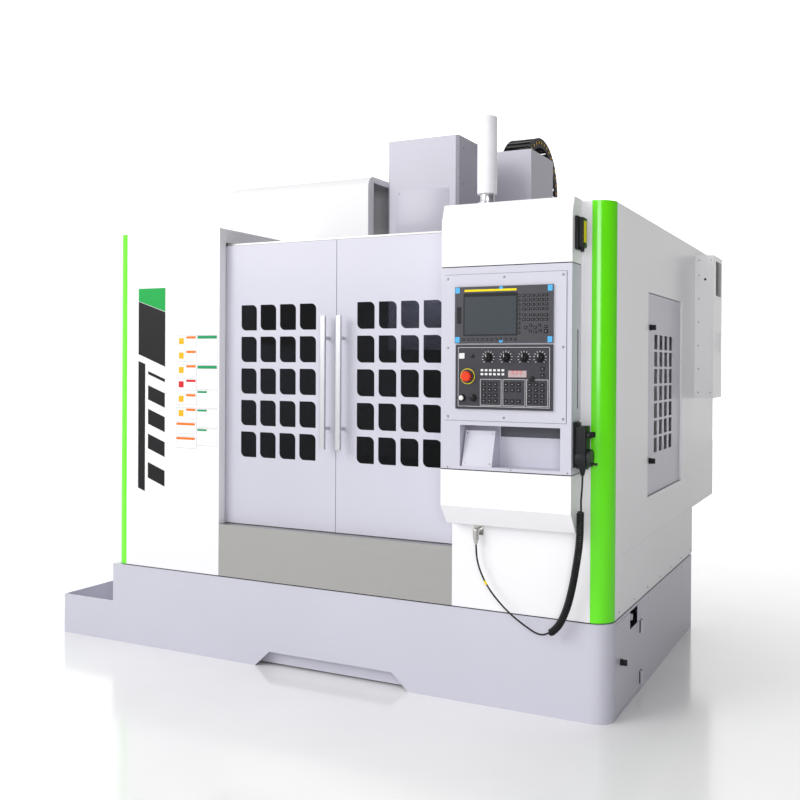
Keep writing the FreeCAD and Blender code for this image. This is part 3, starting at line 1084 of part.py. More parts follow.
build()
shift = to_footprint_centre()
os.makedirs("parts", exist_ok=True)
for name, shape in parts.items():
    shape.translate(shift)
    shape.exportStep("parts/" + name + ".step")
print(len(parts), "parts, moved by", shift)
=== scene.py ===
import math

import bmesh
import bpy
from mathutils import Matrix, Vector


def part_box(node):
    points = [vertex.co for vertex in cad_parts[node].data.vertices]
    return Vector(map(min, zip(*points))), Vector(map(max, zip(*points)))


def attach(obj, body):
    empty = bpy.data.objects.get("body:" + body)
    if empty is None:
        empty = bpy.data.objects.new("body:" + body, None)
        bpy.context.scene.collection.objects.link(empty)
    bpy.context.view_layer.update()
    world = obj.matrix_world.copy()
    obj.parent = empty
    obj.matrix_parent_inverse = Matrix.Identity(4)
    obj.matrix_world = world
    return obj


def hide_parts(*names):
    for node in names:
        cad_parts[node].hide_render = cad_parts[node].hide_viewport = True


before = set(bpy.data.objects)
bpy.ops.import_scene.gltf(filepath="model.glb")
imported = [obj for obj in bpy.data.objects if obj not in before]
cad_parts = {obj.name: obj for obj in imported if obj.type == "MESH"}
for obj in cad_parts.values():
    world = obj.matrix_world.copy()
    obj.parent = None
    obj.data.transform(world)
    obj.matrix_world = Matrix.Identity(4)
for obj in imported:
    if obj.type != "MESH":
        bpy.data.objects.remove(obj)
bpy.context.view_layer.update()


# ---- Enclosure sheets -------------------------------------------------------
# Folded steel sheets, powder coated white, screwed to the base and to each other.
# The coat gives a half gloss skin with a fine orange peel.
PARTING = (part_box("door_left")[1].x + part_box("door_right")[0].x) / 2
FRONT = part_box("base_skirt")[0].y
WHITE = "F4F3F6"


def at(x, y, z):
    """A point given in mm from the doors' parting line, the base's front and the floor."""
    return Vector((PARTING + x / 1000, FRONT + y / 1000, z / 1000))


def linear(code, share=1.0):
    """sRGB hex to a linear colour with alpha, made darker by share."""
    values = [int(code[i:i + 2], 16) / 255 for i in (0, 2, 4)]
    return [(v / 12.92 if v <= 0.04045 else ((v + 0.055) / 1.055) ** 2.4) * share for v in values] + [1.0]


def put(tree, kind, settings=(), **sockets):
    """Add a node, set its properties, then give each named input a value or a link."""
    node = tree.nodes.new(kind)
    for key, value in dict(settings).items():
        setattr(node, key, value)
    for key, value in sockets.items():
        numbered = key.startswith("in") and key[2:].isdigit()
        socket = node.inputs[int(key[2:])] if numbered else node.inputs[key.replace("_", " ")]
        if isinstance(value, bpy.types.NodeSocket):
            tree.links.new(value, socket)
        else:
            socket.default_value = value
    return node


def blank(name):
    """A material with an empty node tree."""
    material = bpy.data.materials.new(name)
    material.use_nodes = True
    material.node_tree.nodes.clear()
    return material, material.node_tree


def blended(tree, factor, dark, light, low=0.3, high=0.7):
    """Colour running from dark to light as the factor goes from low to high."""
    ramp = put(tree, "ShaderNodeValToRGB", Fac=factor)
    first, last = ramp.color_ramp.elements
    first.position, first.color = low, dark
    last.position, last.color = high, light
    return ramp.outputs["Color"]


def powder_coat(name, colour, rough=0.36, peel=0.05):
    """Polyester powder baked on steel: orange peel about 1.5 mm across, faint unevenness of tone."""
    material, tree = blank(name)
    where = put(tree, "ShaderNodeTexCoord").outputs["Object"]
    cloud = put(tree, "ShaderNodeTexNoise", Vector=where, Scale=1.3, Detail=3.0).outputs["Fac"]
    tone = blended(tree, cloud, linear(colour, 0.955), linear(colour))
    peel_height = put(tree, "ShaderNodeTexNoise", Vector=where, Scale=650.0, Detail=1.0).outputs["Fac"]
    bump = put(tree, "ShaderNodeBump", Height=peel_height, Strength=peel, Distance=0.0006)
    gloss = put(tree, "ShaderNodeMapRange", Value=cloud, To_Min=rough - 0.04, To_Max=rough + 0.06)
    skin = put(tree, "ShaderNodeBsdfPrincipled", Base_Color=tone, Roughness=gloss.outputs["Result"],
               Normal=bump.outputs["Normal"], Coat_Weight=0.25, Coat_Roughness=0.12)
    put(tree, "ShaderNodeOutputMaterial", Surface=skin.outputs["BSDF"])
    return material


def paint(material, *names):
    """Give CAD nodes this finish."""
    for name in names:
        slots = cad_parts[name].data.materials
        slots.clear()
        slots.append(material)


def block(bm, x0, x1, y0, y1, z0, z1):
    """Add a block by its six faces in mm; returns its vertices."""
    size = Matrix.Diagonal(((x1 - x0) / 1000, (y1 - y0) / 1000, (z1 - z0) / 1000, 1))
    centre = at((x0 + x1) / 2, (y0 + y1) / 2, (z0 + z1) / 2)
    return bmesh.ops.create_cube(bm, size=1, matrix=Matrix.Translation(centre) @ size)["verts"]


def turned(bm, radius, start, end, tip=None, sides=24):
    """Add a round bar, or a cone if tip is given, between two points in mm."""
    low, high = at(*start), at(*end)
    along = high - low
    place = Matrix.Translation((low + high) / 2) @ along.to_track_quat("Z", "Y").to_matrix().to_4x4()
    return bmesh.ops.create_cone(bm, cap_ends=True, segments=sides, radius1=radius / 1000,
                                 radius2=(radius if tip is None else tip) / 1000,
                                 depth=along.length, matrix=place)["verts"]


def ease(bm, width, segments=2, angle=35):
    """Round every edge sharper than the angle, width in mm."""
    sharp = [e for e in bm.edges if len(e.link_faces) == 2 and e.calc_face_angle() > math.radians(angle)]
    bmesh.ops.bevel(bm, geom=sharp, offset=width / 1000, offset_type="OFFSET", segments=segments,
                    profile=0.5, affect="EDGES", clamp_overlap=True, material=-1)


def piece(name, bm, body, material, smooth=40):
    """Turn the bmesh into a finished piece that rides on a body."""
    bmesh.ops.recalc_face_normals(bm, faces=bm.faces)
    mesh = bpy.data.meshes.new(name)
    bm.to_mesh(mesh)
    bm.free()
    mesh.polygons.foreach_set("use_smooth", [True] * len(mesh.polygons))
    mesh.set_sharp_from_angle(angle=math.radians(smooth))
    mesh.materials.append(material)
    made = bpy.data.objects.new(name, mesh)
    bpy.context.scene.collection.objects.link(made)
    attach(made, body)
    return made


white_coat = powder_coat("white_powder_coat", WHITE)
paint(white_coat, "left_front_panel", "right_front_panel", "left_side_panel", "right_side_panel")

# ---- Screws of the side sheets ----------------------------------------------
# Zinc plated button head screws that hold the side sheets to the base flange,
# pressed flush against the coat.
ZINC = "A9ABAF"
SCREW_RADIUS = 5.0


def metal(name, colour, rough=0.3, grain=(600.0, 600.0, 600.0), depth=0.04):
    """Bare or plated metal with a fine worked grain, stretched by the three scales."""
    material, tree = blank(name)
    where = put(tree, "ShaderNodeTexCoord").outputs["Object"]
    run = put(tree, "ShaderNodeMapping", Vector=where, Scale=grain).outputs["Vector"]
    lines = put(tree, "ShaderNodeTexNoise", Vector=run, Scale=1.0, Detail=4.0, Roughness=0.65).outputs["Fac"]
    tone = blended(tree, lines, linear(colour, 0.86), linear(colour))
    spread = put(tree, "ShaderNodeMapRange", Value=lines, To_Min=rough - 0.06, To_Max=rough + 0.1)
    bump = put(tree, "ShaderNodeBump", Height=lines, Strength=depth, Distance=0.0003)
    skin = put(tree, "ShaderNodeBsdfPrincipled", Base_Color=tone, Metallic=1.0,
               Roughness=spread.outputs["Result"], Normal=bump.outputs["Normal"])
    put(tree, "ShaderNodeOutputMaterial", Surface=skin.outputs["BSDF"])
    return material


def screw_head(bm, x, y, z, out, radius=SCREW_RADIUS):
    """Domed head on a face at a point in mm, standing out along a unit vector."""
    end = [p + 2.2 * o for p, o in zip((x, y, z), out)]
    turned(bm, radius, (x, y, z), end, tip=radius * 0.62, sides=14)


zinc = metal("zinc_plated_screw", ZINC, rough=0.34)
bm = bmesh.new()
for y in range(140, 1600, 240):
    screw_head(bm, 1216, y, 398, (1, 0, 0), 4)
    screw_head(bm, 1220, y, 352, (1, 0, 0), 3) if y > 500 else None
    screw_head(bm, -1216, y, 398, (-1, 0, 0), 4)
piece("side_sheet_screws", bm, "frame", zinc)

# ---- Corner posts -----------------------------------------------------------
# Quarter round steel posts rolled from sheet, powder coated in a clean bright green
# gloss, standing between the front and side sheets.
GREEN = "6BF500"
green_coat = powder_coat("green_gloss_powder_coat", GREEN, rough=0.2, peel=0.03)
paint(green_coat, "corner_posts")

# ---- Base -------------------------------------------------------------------
# Welded sheet base with its chip tray, powder coated light grey with a lavender
# cast; the machine stands in it and the sheets are screwed to its flange.
GREY = "CAC9D6"
grey_coat = powder_coat("grey_powder_coat", GREY, rough=0.4)
paint(grey_coat, "base_skirt")

# ---- Painted shade in the gaps between the sheets ---------------------------
# Black strip set into the gaps above the base and round the control box, a little
# behind the faces of the sheets: painted shade for the shadow inside these gaps.
bm = bmesh.new()
# Strips of painted shade in the gaps above the base, along the front and the sides.
block(bm, -1140, 1140, 5.6, 16, 374.1, 377.9)
for x0, x1 in ((-1213, -1206), (1206, 1213)):
    block(bm, x0, x1, 90, 1580, 374.1, 377.9)
# Strips of painted shade in the gaps above and below the control box.
block(bm, 576, 1099, -110.5, 0, 1720.2, 1723.8)
block(bm, 576, 1099, -110.5, 0, 937.2, 940.8)
ease(bm, 0.4, 1)
# Flat black coat of the painted shade in the gaps.
GAP_SHADE = "0A0A0B"
seal_rubber = powder_coat("black_seal_rubber", GAP_SHADE, rough=0.7)
piece("gap_seals", bm, "frame", seal_rubber)

# ---- Sliding doors ----------------------------------------------------------
# Two folded sheet doors with a grid of openings, coated like the base, their
# tinted safety panes held behind the sheet.
paint(grey_coat, "door_left", "door_right")


def tinted_glass(name, colour, rough=0.03):
    """Tinted safety pane: passes a grey view and mirrors the room at a glance."""
    material, tree = blank(name)
    where = put(tree, "ShaderNodeTexCoord").outputs["Object"]
    smear = put(tree, "ShaderNodeTexNoise", Vector=where, Scale=9.0, Detail=4.0).outputs["Fac"]
    haze = put(tree, "ShaderNodeMapRange", Value=smear, To_Min=rough, To_Max=rough + 0.08)
    tone = blended(tree, smear, linear(colour, 0.9), linear(colour))
    clear = put(tree, "ShaderNodeBsdfTransparent", Color=tone)
    mirror = put(tree, "ShaderNodeBsdfGlossy", Color=(0.9, 0.92, 0.95, 1), Roughness=haze.outputs["Result"])
    edge = put(tree, "ShaderNodeFresnel", IOR=1.25).outputs["Fac"]
    mixed = put(tree, "ShaderNodeMixShader", in0=edge, in1=clear.outputs["BSDF"], in2=mirror.outputs["BSDF"])
    put(tree, "ShaderNodeOutputMaterial", Surface=mixed.outputs["Shader"])
    return material


pane_glass = tinted_glass("tinted_safety_glass", "73757B")
paint(pane_glass, "window_left", "window_right")

# ---- Door handles -----------------------------------------------------------
# Extruded aluminium bars with a satin anodised skin, each screwed to its door
# through two turned standoffs.
SATIN = "D3D4D8"
satin_bar = metal("satin_anodised_aluminium", SATIN, rough=0.3, grain=(900.0, 900.0, 25.0))
paint(satin_bar, "handle_left", "handle_right")

# ---- Apron and door guides --------------------------------------------------
# Apron of stainless sheet brushed along its length, with the door guides bent
# from the same sheet and fixed above it.
STAINLESS = "B4B3B1"
brushed = metal("brushed_stainless_sheet", STAINLESS, rough=0.34, grain=(6.0, 900.0, 900.0), depth=0.08)
paint(brushed, "apron_panel", "door_rails")

# ---- Work chamber -----------------------------------------------------------
# White coated splash walls round the cast iron bed, column, saddle and head, which
# are enamelled; the table, screws and spindle are ground steel.
CASTING = "5E646B"
GROUND = "9FA3A8"
paint(white_coat, "splash_walls")
casting_coat = powder_coat("enamelled_iron_casting", CASTING, rough=0.5, peel=0.3)
paint(casting_coat, "bed_with_y_motor", "column_with_z_motor", "saddle_with_x_motor",
      "head_with_spindle_motor")
ground_steel = metal("ground_steel", GROUND, rough=0.26, grain=(20.0, 500.0, 500.0))
paint(ground_steel, "table", "x_screw", "y_screw", "z_screw", "spindle")
paint(grey_coat, "head_cover")

# ---- Head cover plate -------------------------------------------------------
# Coated steel access plate on the front of the folded head cover, held by two
# zinc plated screws; three more screws show on the cover's right side.
cover_front = (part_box("head_cover")[0].y - FRONT) * 1000
bm = bmesh.new()
block(bm, -150, 150, cover_front - 1.5, cover_front + 0.1, 1985, 2235)
ease(bm, 1.0)
piece("head_access_plate", bm, "head", grey_coat)
bm = bmesh.new()
for x in (-132, 132):
    screw_head(bm, x, cover_front - 1.5, 2222, (0, -1, 0))
for z in (2060, 2260, 2440):
    screw_head(bm, 200, 960, z, (1, 0, 0))
piece("head_cover_screws", bm, "head", zinc)

# ---- Tool magazine ----------------------------------------------------------
# Black oxide drum with its pots, turning under a white coated cover folded from
# sheet and standing on the roof.
BLACK = "1B1C1F"
black_coat = powder_coat("black_powder_coat", BLACK, rough=0.45)
paint(black_coat, "tool_magazine")
paint(white_coat, "magazine_cover")

# ---- Column cover and energy chain ------------------------------------------
# Grey folded cover; the chain is moulded black nylon with yellow pin caps, its
# links bent over one radius and hanging down behind the cover.
paint(grey_coat, "column_cover")
CHAIN_PITCH = 44.0
PIN_YELLOW = "E8B414"


def moulded(name, colour, rough=0.5, texture=900.0, depth=0.12):
    """Injection moulded plastic with a fine spark-eroded texture."""
    material, tree = blank(name)
    where = put(tree, "ShaderNodeTexCoord").outputs["Object"]
    spots = put(tree, "ShaderNodeTexNoise", Vector=where, Scale=texture, Detail=2.0).outputs["Fac"]
    cloud = put(tree, "ShaderNodeTexNoise", Vector=where, Scale=14.0, Detail=2.0).outputs["Fac"]
    tone = blended(tree, cloud, linear(colour, 0.9), linear(colour))
    spread = put(tree, "ShaderNodeMapRange", Value=spots, To_Min=rough - 0.06, To_Max=rough + 0.08)
    bump = put(tree, "ShaderNodeBump", Height=spots, Strength=depth, Distance=0.0003)
    skin = put(tree, "ShaderNodeBsdfPrincipled", Base_Color=tone, Roughness=spread.outputs["Result"],
               Normal=bump.outputs["Normal"], Specular_IOR_Level=0.3)
    put(tree, "ShaderNodeOutputMaterial", Surface=skin.outputs["BSDF"])
    return material


black_nylon = moulded("black_nylon", "1A1B1D", rough=0.42)
yellow_nylon = moulded("yellow_nylon", PIN_YELLOW, rough=0.4)
chain_low, chain_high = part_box("cable_chain")
CHAIN_THICK = 56.0
chain_x0 = (chain_low.x - PARTING) * 1000
chain_x1 = (chain_high.x - PARTING) * 1000
chain_rear = (chain_high.y - FRONT) * 1000 - CHAIN_THICK / 2
chain_top = chain_high.z * 1000 - CHAIN_THICK / 2
BEND_RADIUS = 260.0
bend_y = chain_rear - BEND_RADIUS
bend_z = chain_top - BEND_RADIUS
leg_links = int(((bend_z - chain_low.z * 1000) - CHAIN_PITCH / 2) / CHAIN_PITCH)
arch_links = int(math.radians(152) * BEND_RADIUS / CHAIN_PITCH)
spots = [(bend_y + BEND_RADIUS, bend_z - CHAIN_PITCH * (k + 0.5), 0.0) for k in range(leg_links)]
for k in range(arch_links):
    turn = (k + 0.5) * CHAIN_PITCH / BEND_RADIUS
    spots.append((bend_y + BEND_RADIUS * math.cos(turn), bend_z + BEND_RADIUS * math.sin(turn), turn))
links, pins = bmesh.new(), bmesh.new()
for y, z, turn in spots:
    swing = Matrix.Translation(at(0, y, z)) @ Matrix.Rotation(turn, 4, "X") @ Matrix.Translation(-at(0, y, z))
    verts = []
    half = CHAIN_PITCH / 2 - 1
    for side, inner in ((chain_x0, chain_x0 + 9), (chain_x1 - 9, chain_x1)):
        verts += block(links, side, inner, y - 26, y + 26, z - half, z + half)
        tongue = (side - 0.01, side + 3) if side == chain_x0 else (inner - 3, inner)
        verts += block(links, *tongue, y - 18, y + 18, z + half - 6, z + half + 7)
    for bar in (-25, 19):
        verts += block(links, chain_x0 + 8, chain_x1 - 8, y + bar, y + bar + 6, z - 14, z + 12)
    bmesh.ops.transform(links, matrix=swing, verts=list(set(verts)))
    caps = turned(pins, 8, (chain_x0 - 1.5, y, z), (chain_x0 + 1, y, z), sides=12)
    caps += turned(pins, 8, (chain_x1 - 1, y, z), (chain_x1 + 1.5, y, z), sides=12)
    bmesh.ops.transform(pins, matrix=swing, verts=caps)
ease(links, 1.2, 1)
chain = piece("energy_chain_links", links, "frame", black_nylon)
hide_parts("cable_chain")
piece("energy_chain_pin_caps", pins, "frame", yellow_nylon)

# ---- Electrical cabinet and its cooler --------------------------------------
# White coated cabinet on the rear of the machine; its cooler is a sheet case with
# a dark display window, a small readout and a louvred outlet on the right side.
paint(white_coat, "electrical_cabinet", "cabinet_door", "ac_unit")
case_low, case_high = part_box("ac_unit")
case_face = (case_high.x - PARTING) * 1000
case_y0 = (case_low.y - FRONT) * 1000
dark_plastic = moulded("dark_grey_abs", "2A2B2E", rough=0.38)
bm = bmesh.new()
block(bm, case_face - 6, case_face + 0.2, case_y0 + 72, case_y0 + 230, 1717, 1893)
ease(bm, 3)
piece("cooler_display_window", bm, "frame", dark_plastic)
bm = bmesh.new()
block(bm, case_face - 2, case_face - 0.2, case_y0 + 60, case_y0 + 88, 1690, 1706)
turned(bm, 7, (1269, case_y0 + 2, 1796), (1269, case_y0 - 1.0, 1796), tip=6, sides=20)
ease(bm, 0.8, 1)
piece("cooler_readout_and_plug", bm, "frame", black_nylon)
bm = bmesh.new()
for z in (1208, 1330, 1452, 1574, 1696, 1818, 1896):
    screw_head(bm, 1237, case_y0, z, (0, -1, 0), 4)
    screw_head(bm, case_face - 14, case_y0, z, (0, -1, 0), 3) if z in (1208, 1896) else None
piece("cooler_screws", bm, "frame", zinc)

# ---- Control box and covers -------------------------------------------------
# Folded steel box coated grey with a screwed fascia, standing between two white
# coated covers folded from the same sheet.
paint(grey_coat, "control_box", "control_fascia")
paint(white_coat, "control_top_cover", "control_bottom_cover")
fascia_front = (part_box("control_fascia")[0].y - FRONT) * 1000
bm = bmesh.new()
for x, z in ((603, 1676), (836, 1677), (1067, 1678), (605, 1409), (1068, 1411),
             (606, 1144), (837, 1144), (1069, 1146)):
    screw_head(bm, x, fascia_front, z, (0, -1, 0))
for x in (604, 865, 1086):
    screw_head(bm, x, -111, 947, (0, -1, 0), 3.4)
for x in (672, 776):
    screw_head(bm, x, -103.5, 965, (0, -0.96, 0.28), 3.4)
    screw_head(bm, x, -70.5, 1078, (0, -0.96, 0.28), 3.4)
piece("fascia_screws", bm, "frame", zinc)

# ---- Joint and shelf shade --------------------------------------------------
# Narrow strips of painted shade in the joint where the fascia lies in the box, and a
# dark plate of painted shade set into the top of the shelf's back wall.
SHADE_STRIP = 1.4
# Flat dark grey coat of the painted shade.
joint_shade_coat = powder_coat("painted_joint_shade", "4A4A52", rough=0.6)
bm = bmesh.new()
fascia_low, fascia_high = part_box("control_fascia")
x0, x1 = (fascia_low.x - PARTING) * 1000, (fascia_high.x - PARTING) * 1000
z0, z1 = fascia_low.z * 1000, fascia_high.z * 1000
# Four strips of painted shade round the edge of the fascia.
for strip in ((x0 - SHADE_STRIP, x0, z0 - SHADE_STRIP, z1 + SHADE_STRIP), (x1, x1 + SHADE_STRIP, z0 - SHADE_STRIP, z1 + SHADE_STRIP),
              (x0, x1, z1, z1 + SHADE_STRIP), (x0, x1, z0 - SHADE_STRIP, z0)):
    block(bm, strip[0], strip[1], -111.4, -110.8, strip[2], strip[3])
# Plate of painted shade in the upper part of the shelf's back wall.
block(bm, 790, 1055, -20, -18.8, 1066, 1111)
ease(bm, 0.2, 1)
piece("painted_joint_and_shelf_shade", bm, "frame", joint_shade_coat)

# ---- Display unit -----------------------------------------------------------
# Moulded dark grey bezel round a flat screen with a coloured title strip, soft
# keys and a key field; blue film tabs hold its protective film.
bezel_plastic = moulded("bezel_grey_abs", "4A494F", rough=0.45)
paint(bezel_plastic, "display_unit")
panel_front = (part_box("display_unit")[0].y - FRONT) * 1000


def printed(name, colour, rough=0.35, glow=0.0):
    """Screen printed or foil field in one plain colour with a slight unevenness of ink."""
    material, tree = blank(name)
    where = put(tree, "ShaderNodeTexCoord").outputs["Object"]
    ink = put(tree, "ShaderNodeTexNoise", Vector=where, Scale=120.0, Detail=3.0).outputs["Fac"]
    tone = blended(tree, ink, linear(colour, 0.93), linear(colour))
    spread = put(tree, "ShaderNodeMapRange", Value=ink, To_Min=rough - 0.05, To_Max=rough + 0.07)
    skin = put(tree, "ShaderNodeBsdfPrincipled", Base_Color=tone, Roughness=spread.outputs["Result"],
               Emission_Color=linear(colour), Emission_Strength=glow,
               Specular_IOR_Level=0.25)
    put(tree, "ShaderNodeOutputMaterial", Surface=skin.outputs["BSDF"])
    return material


def field(bm, x0, x1, z0, z1, y, thick=0.5):
    """Thin plate on a front face at y, standing out towards the front."""
    return block(bm, x0, x1, y - thick, y + 0.2, z0, z1)


def fields(name, boxes, y, body, material, thick=0.5, round_by=0.0):
    """One piece made of several thin plates: (x0, x1, z0, z1) each."""
    bm = bmesh.new()
    for x0, x1, z0, z1 in boxes:
        field(bm, x0, x1, z0, z1, y, thick)
    if round_by:
        upright = [e for e in bm.edges if abs((e.verts[0].co - e.verts[1].co).y) > 1e-6]
        bmesh.ops.bevel(bm, geom=upright, offset=round_by / 1000, offset_type="OFFSET", segments=3,
                        profile=0.5, affect="EDGES", clamp_overlap=True, material=-1)
    return piece(name, bm, body, material)


screen_glass = printed("screen_glass", "3E444A", rough=0.3)
screen_frame = printed("screen_border", "1E2023", rough=0.3)
bright_yellow = printed("yellow_print", "F5DC00", rough=0.4)
film_blue = printed("blue_film", "57B6F2", rough=0.25)
fields("screen_border", [(673, 893, 1455, 1618)], panel_front, "frame", screen_frame, 0.5, 3)
fields("screen", [(678, 888, 1460, 1604)], panel_front - 0.5, "frame", screen_glass, 0.3)
fields("screen_title_strip", [(677, 889, 1624, 1632)], panel_front, "frame", bright_yellow,
       0.3)
tabs = [(x, x + 18, z, z + 22) for x in (639, 1011) for z in (1429, 1619)]
tabs += [(820, 834, 1429, 1440), (820, 834, 1631, 1641)]
fields("film_tabs", tabs, panel_front, "frame", film_blue, 0.4, 1.5)
fields("card_slot", [(646, 664, 1502, 1566)], panel_front, "frame", screen_frame, 0.9, 2)

# ---- Keys -------------------------------------------------------------------
# Moulded black keys that stand through the bezels, each with a plain printed bar
# in the middle of its top.
key_plastic = moulded("key_black_abs", "1B1C1F", rough=0.4)
paint(key_plastic, "display_keys", "panel_keys")
legend_white = printed("white_print", "E9E9EC", rough=0.5)
legend_grey = printed("grey_print", "A9AAB0", rough=0.5)


def loose_boxes(node):
    """Lowest and highest corner of each separate solid of a CAD node, in mm."""
    bm = bmesh.new()
    bm.from_mesh(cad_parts[node].data)
    bmesh.ops.remove_doubles(bm, verts=bm.verts, dist=1e-5)
    left, found = set(bm.verts), []
    while left:
        group, edge_of = [], [left.pop()]
        while edge_of:
            vert = edge_of.pop()
            group.append(vert.co)
            for e in vert.link_edges:
                other = e.other_vert(vert)
                if other in left:
                    left.discard(other)
                    edge_of.append(other)
        low = [min(c[k] for c in group) for k in range(3)]
        high = [max(c[k] for c in group) for k in range(3)]
        found.append(((low[0] - PARTING) * 1000, (high[0] - PARTING) * 1000, low[2] * 1000, high[2] * 1000,
                      (low[1] - FRONT) * 1000))
    bm.free()
    return sorted(found)


for node, body in (("display_keys", "display_keys"), ("panel_keys", "panel_keys")):
    marks = []
    for x0, x1, z0, z1, face in loose_boxes(node):
        wide, high = x1 - x0, z1 - z0
        marks.append((x0 + wide * 0.36, x1 - wide * 0.36, z0 + high * 0.4, z1 - high * 0.4))
    fields(node + "_print", marks, face, body, legend_grey, 0.25)

# ---- Operator panel ---------------------------------------------------------
# Black panel with a thin white outline, white dials under the knobs, rows of
# lamps and a three digit readout.
panel_black = moulded("panel_black_abs", "3C3B42", rough=0.42)
paint(panel_black, "operator_panel")
KNOB_Z = 1372
edges = []
for x0, x1, z0, z1 in ((652, 1020, 1185, 1411), (744, 830, 1190, 1290), (836, 925, 1190, 1290),
                       (930, 1014, 1190, 1290)):
    edges += [(x0, x1, z1 - 1.3, z1), (x0, x1, z0, z0 + 1.3), (x0, x0 + 1.3, z0 + 1.3, z1 - 1.3),
              (x1 - 1.3, x1, z0 + 1.3, z1 - 1.3)]
fields("panel_outlines", edges, panel_front, "frame", legend_white, 0.25)
dials = bmesh.new()
for x in (776, 848, 920, 982):
    for step in range(-5, 6):
        angle = math.radians(step * 27)
        tick = block(dials, x - 0.9, x + 0.9, panel_front - 0.25, panel_front + 0.1, KNOB_Z + 20, KNOB_Z + 26)
        hub = Matrix.Translation(at(x, 0, KNOB_Z))
        spin = hub @ Matrix.Rotation(angle, 4, "Y") @ hub.inverted()
        bmesh.ops.transform(dials, matrix=spin, verts=tick)
piece("knob_dial_ticks", dials, "frame", legend_white)
lamps = [(x, x + 10.5, z, z + 8) for x in (746, 763, 780, 797, 814, 831) for z in (1320, 1305)]
fields("indicator_lamps", lamps, panel_front, "frame", legend_white, 0.8)
red_print = printed("red_print", "D8252B", rough=0.35)
readout_film = printed("readout_film", "BFA9AB", rough=0.3)
fields("readout_window", [(857, 930, 1298, 1323)], panel_front, "frame", readout_film,
       0.6, 2)
digits = []
for k in range(3):
    x = 872 + k * 16
    digits += [(x, x + 8, 1322, 1323.4), (x, x + 8, 1309, 1310.4),
               (x, x + 1.4, 1310.4, 1322), (x + 6.6, x + 8, 1310.4, 1322)]
fields("readout_digits", digits, panel_front - 0.6, "frame", red_print, 0.25)
button_black = moulded("push_button_black", "1A1A1C", rough=0.25)
button_white = moulded("push_button_white", "ECECEA", rough=0.25)
for name, x, z, finish in (("start_button", 669, 1217, button_white),
                           ("stop_button", 715, 1218, button_black)):
    bm = bmesh.new()
    turned(bm, 10, (x, panel_front - 8.5, z), (x, panel_front - 13, z), tip=9)
    ease(bm, 1.2)
    piece(name, bm, "frame", finish)
bm = bmesh.new()
for x, z, radius, proud in ((669, 1217, 14.5, 9), (715, 1218, 14.5, 9), (950, 1292, 12, 7)):
    turned(bm, radius, (x, panel_front, z), (x, panel_front - proud - 0.4, z), tip=radius - 1.5, sides=32)
ease(bm, 0.6)
piece("button_rings", bm, "frame", button_black)

fields("service_key", [(657, 679, 1368, 1389)], panel_front, "frame", button_white, 2.5, 1.5)
bm = bmesh.new()
turned(bm, 7, (712, panel_front, 1378), (712, panel_front - 5, 1378), tip=6)
ease(bm, 0.8, 1)
piece("service_button", bm, "frame", button_black)

# ---- Emergency stop ---------------------------------------------------------
# Red moulded mushroom push button that stands over a round yellow plate pressed
# on the operator panel.
red_cap = moulded("red_gloss_abs", "E8401E", rough=0.28)
paint(red_cap, "estop_button")
bm = bmesh.new()
turned(bm, 30, (692, panel_front, 1300), (692, panel_front - 1.2, 1300), sides=40)
ease(bm, 0.4)
piece("stop_yellow_plate", bm, "frame", bright_yellow)

# ---- Rotary knobs -----------------------------------------------------------
# Moulded black knobs with fluted caps and a white pointer line, each pressed on
# the shaft of its switch.
KNOB_RADIUS = 15.0
knob_plastic = moulded("knob_black_abs", "18181B", rough=0.36)
for node in ("mode_knob", "rapid_knob", "feed_knob", "spindle_knob"):
    low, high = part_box(node)
    x = ((low.x + high.x) / 2 - PARTING) * 1000
    z = (low.z + high.z) / 2 * 1000
    bm = bmesh.new()
    turned(bm, KNOB_RADIUS + 3, (x, panel_front - 0.3, z), (x, panel_front - 5, z), tip=KNOB_RADIUS, sides=36)
    cap = turned(bm, KNOB_RADIUS, (x, panel_front - 4.5, z), (x, panel_front - 19, z),
                 tip=KNOB_RADIUS - 1.5, sides=36)
    centre = at(x, 0, z)
    for v in cap:
        turn = math.atan2(v.co.z - centre.z, v.co.x - centre.x)
        pull = 1 - 0.055 * (round(turn / math.radians(10)) % 2)
        v.co.x, v.co.z = centre.x + (v.co.x - centre.x) * pull, centre.z + (v.co.z - centre.z) * pull
    block(bm, x - 3.2, x + 3.2, panel_front - 24, panel_front - 18, z - KNOB_RADIUS + 2, z + KNOB_RADIUS - 2)
    ease(bm, 0.7)
    made = piece(node + "_grip", bm, node, knob_plastic)
    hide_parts(node)
    fields(node + "_pointer", [(x - 0.9, x + 0.9, z + 2, z + KNOB_RADIUS - 2.5)], panel_front - 24,
           node, legend_white, 0.25)

# ---- Signal light -----------------------------------------------------------
# Sealed tube of frosted white acrylic on a turned aluminium neck, screwed to the
# top cover.
frosted = moulded("frosted_acrylic", "F6F5FA", rough=0.3, depth=0.05)
paint(frosted, "signal_light")
light_low, light_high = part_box("signal_light")
light_x = ((light_low.x + light_high.x) / 2 - PARTING) * 1000
light_y = ((light_low.y + light_high.y) / 2 - FRONT) * 1000
bm = bmesh.new()
turned(bm, 34, (light_x, light_y, 1967), (light_x, light_y, 1972), sides=40)
turned(bm, 27.2, (light_x, light_y, 1972), (light_x, light_y, 2004), sides=40)
ease(bm, 0.8)
piece("signal_light_neck", bm, "frame", satin_bar)

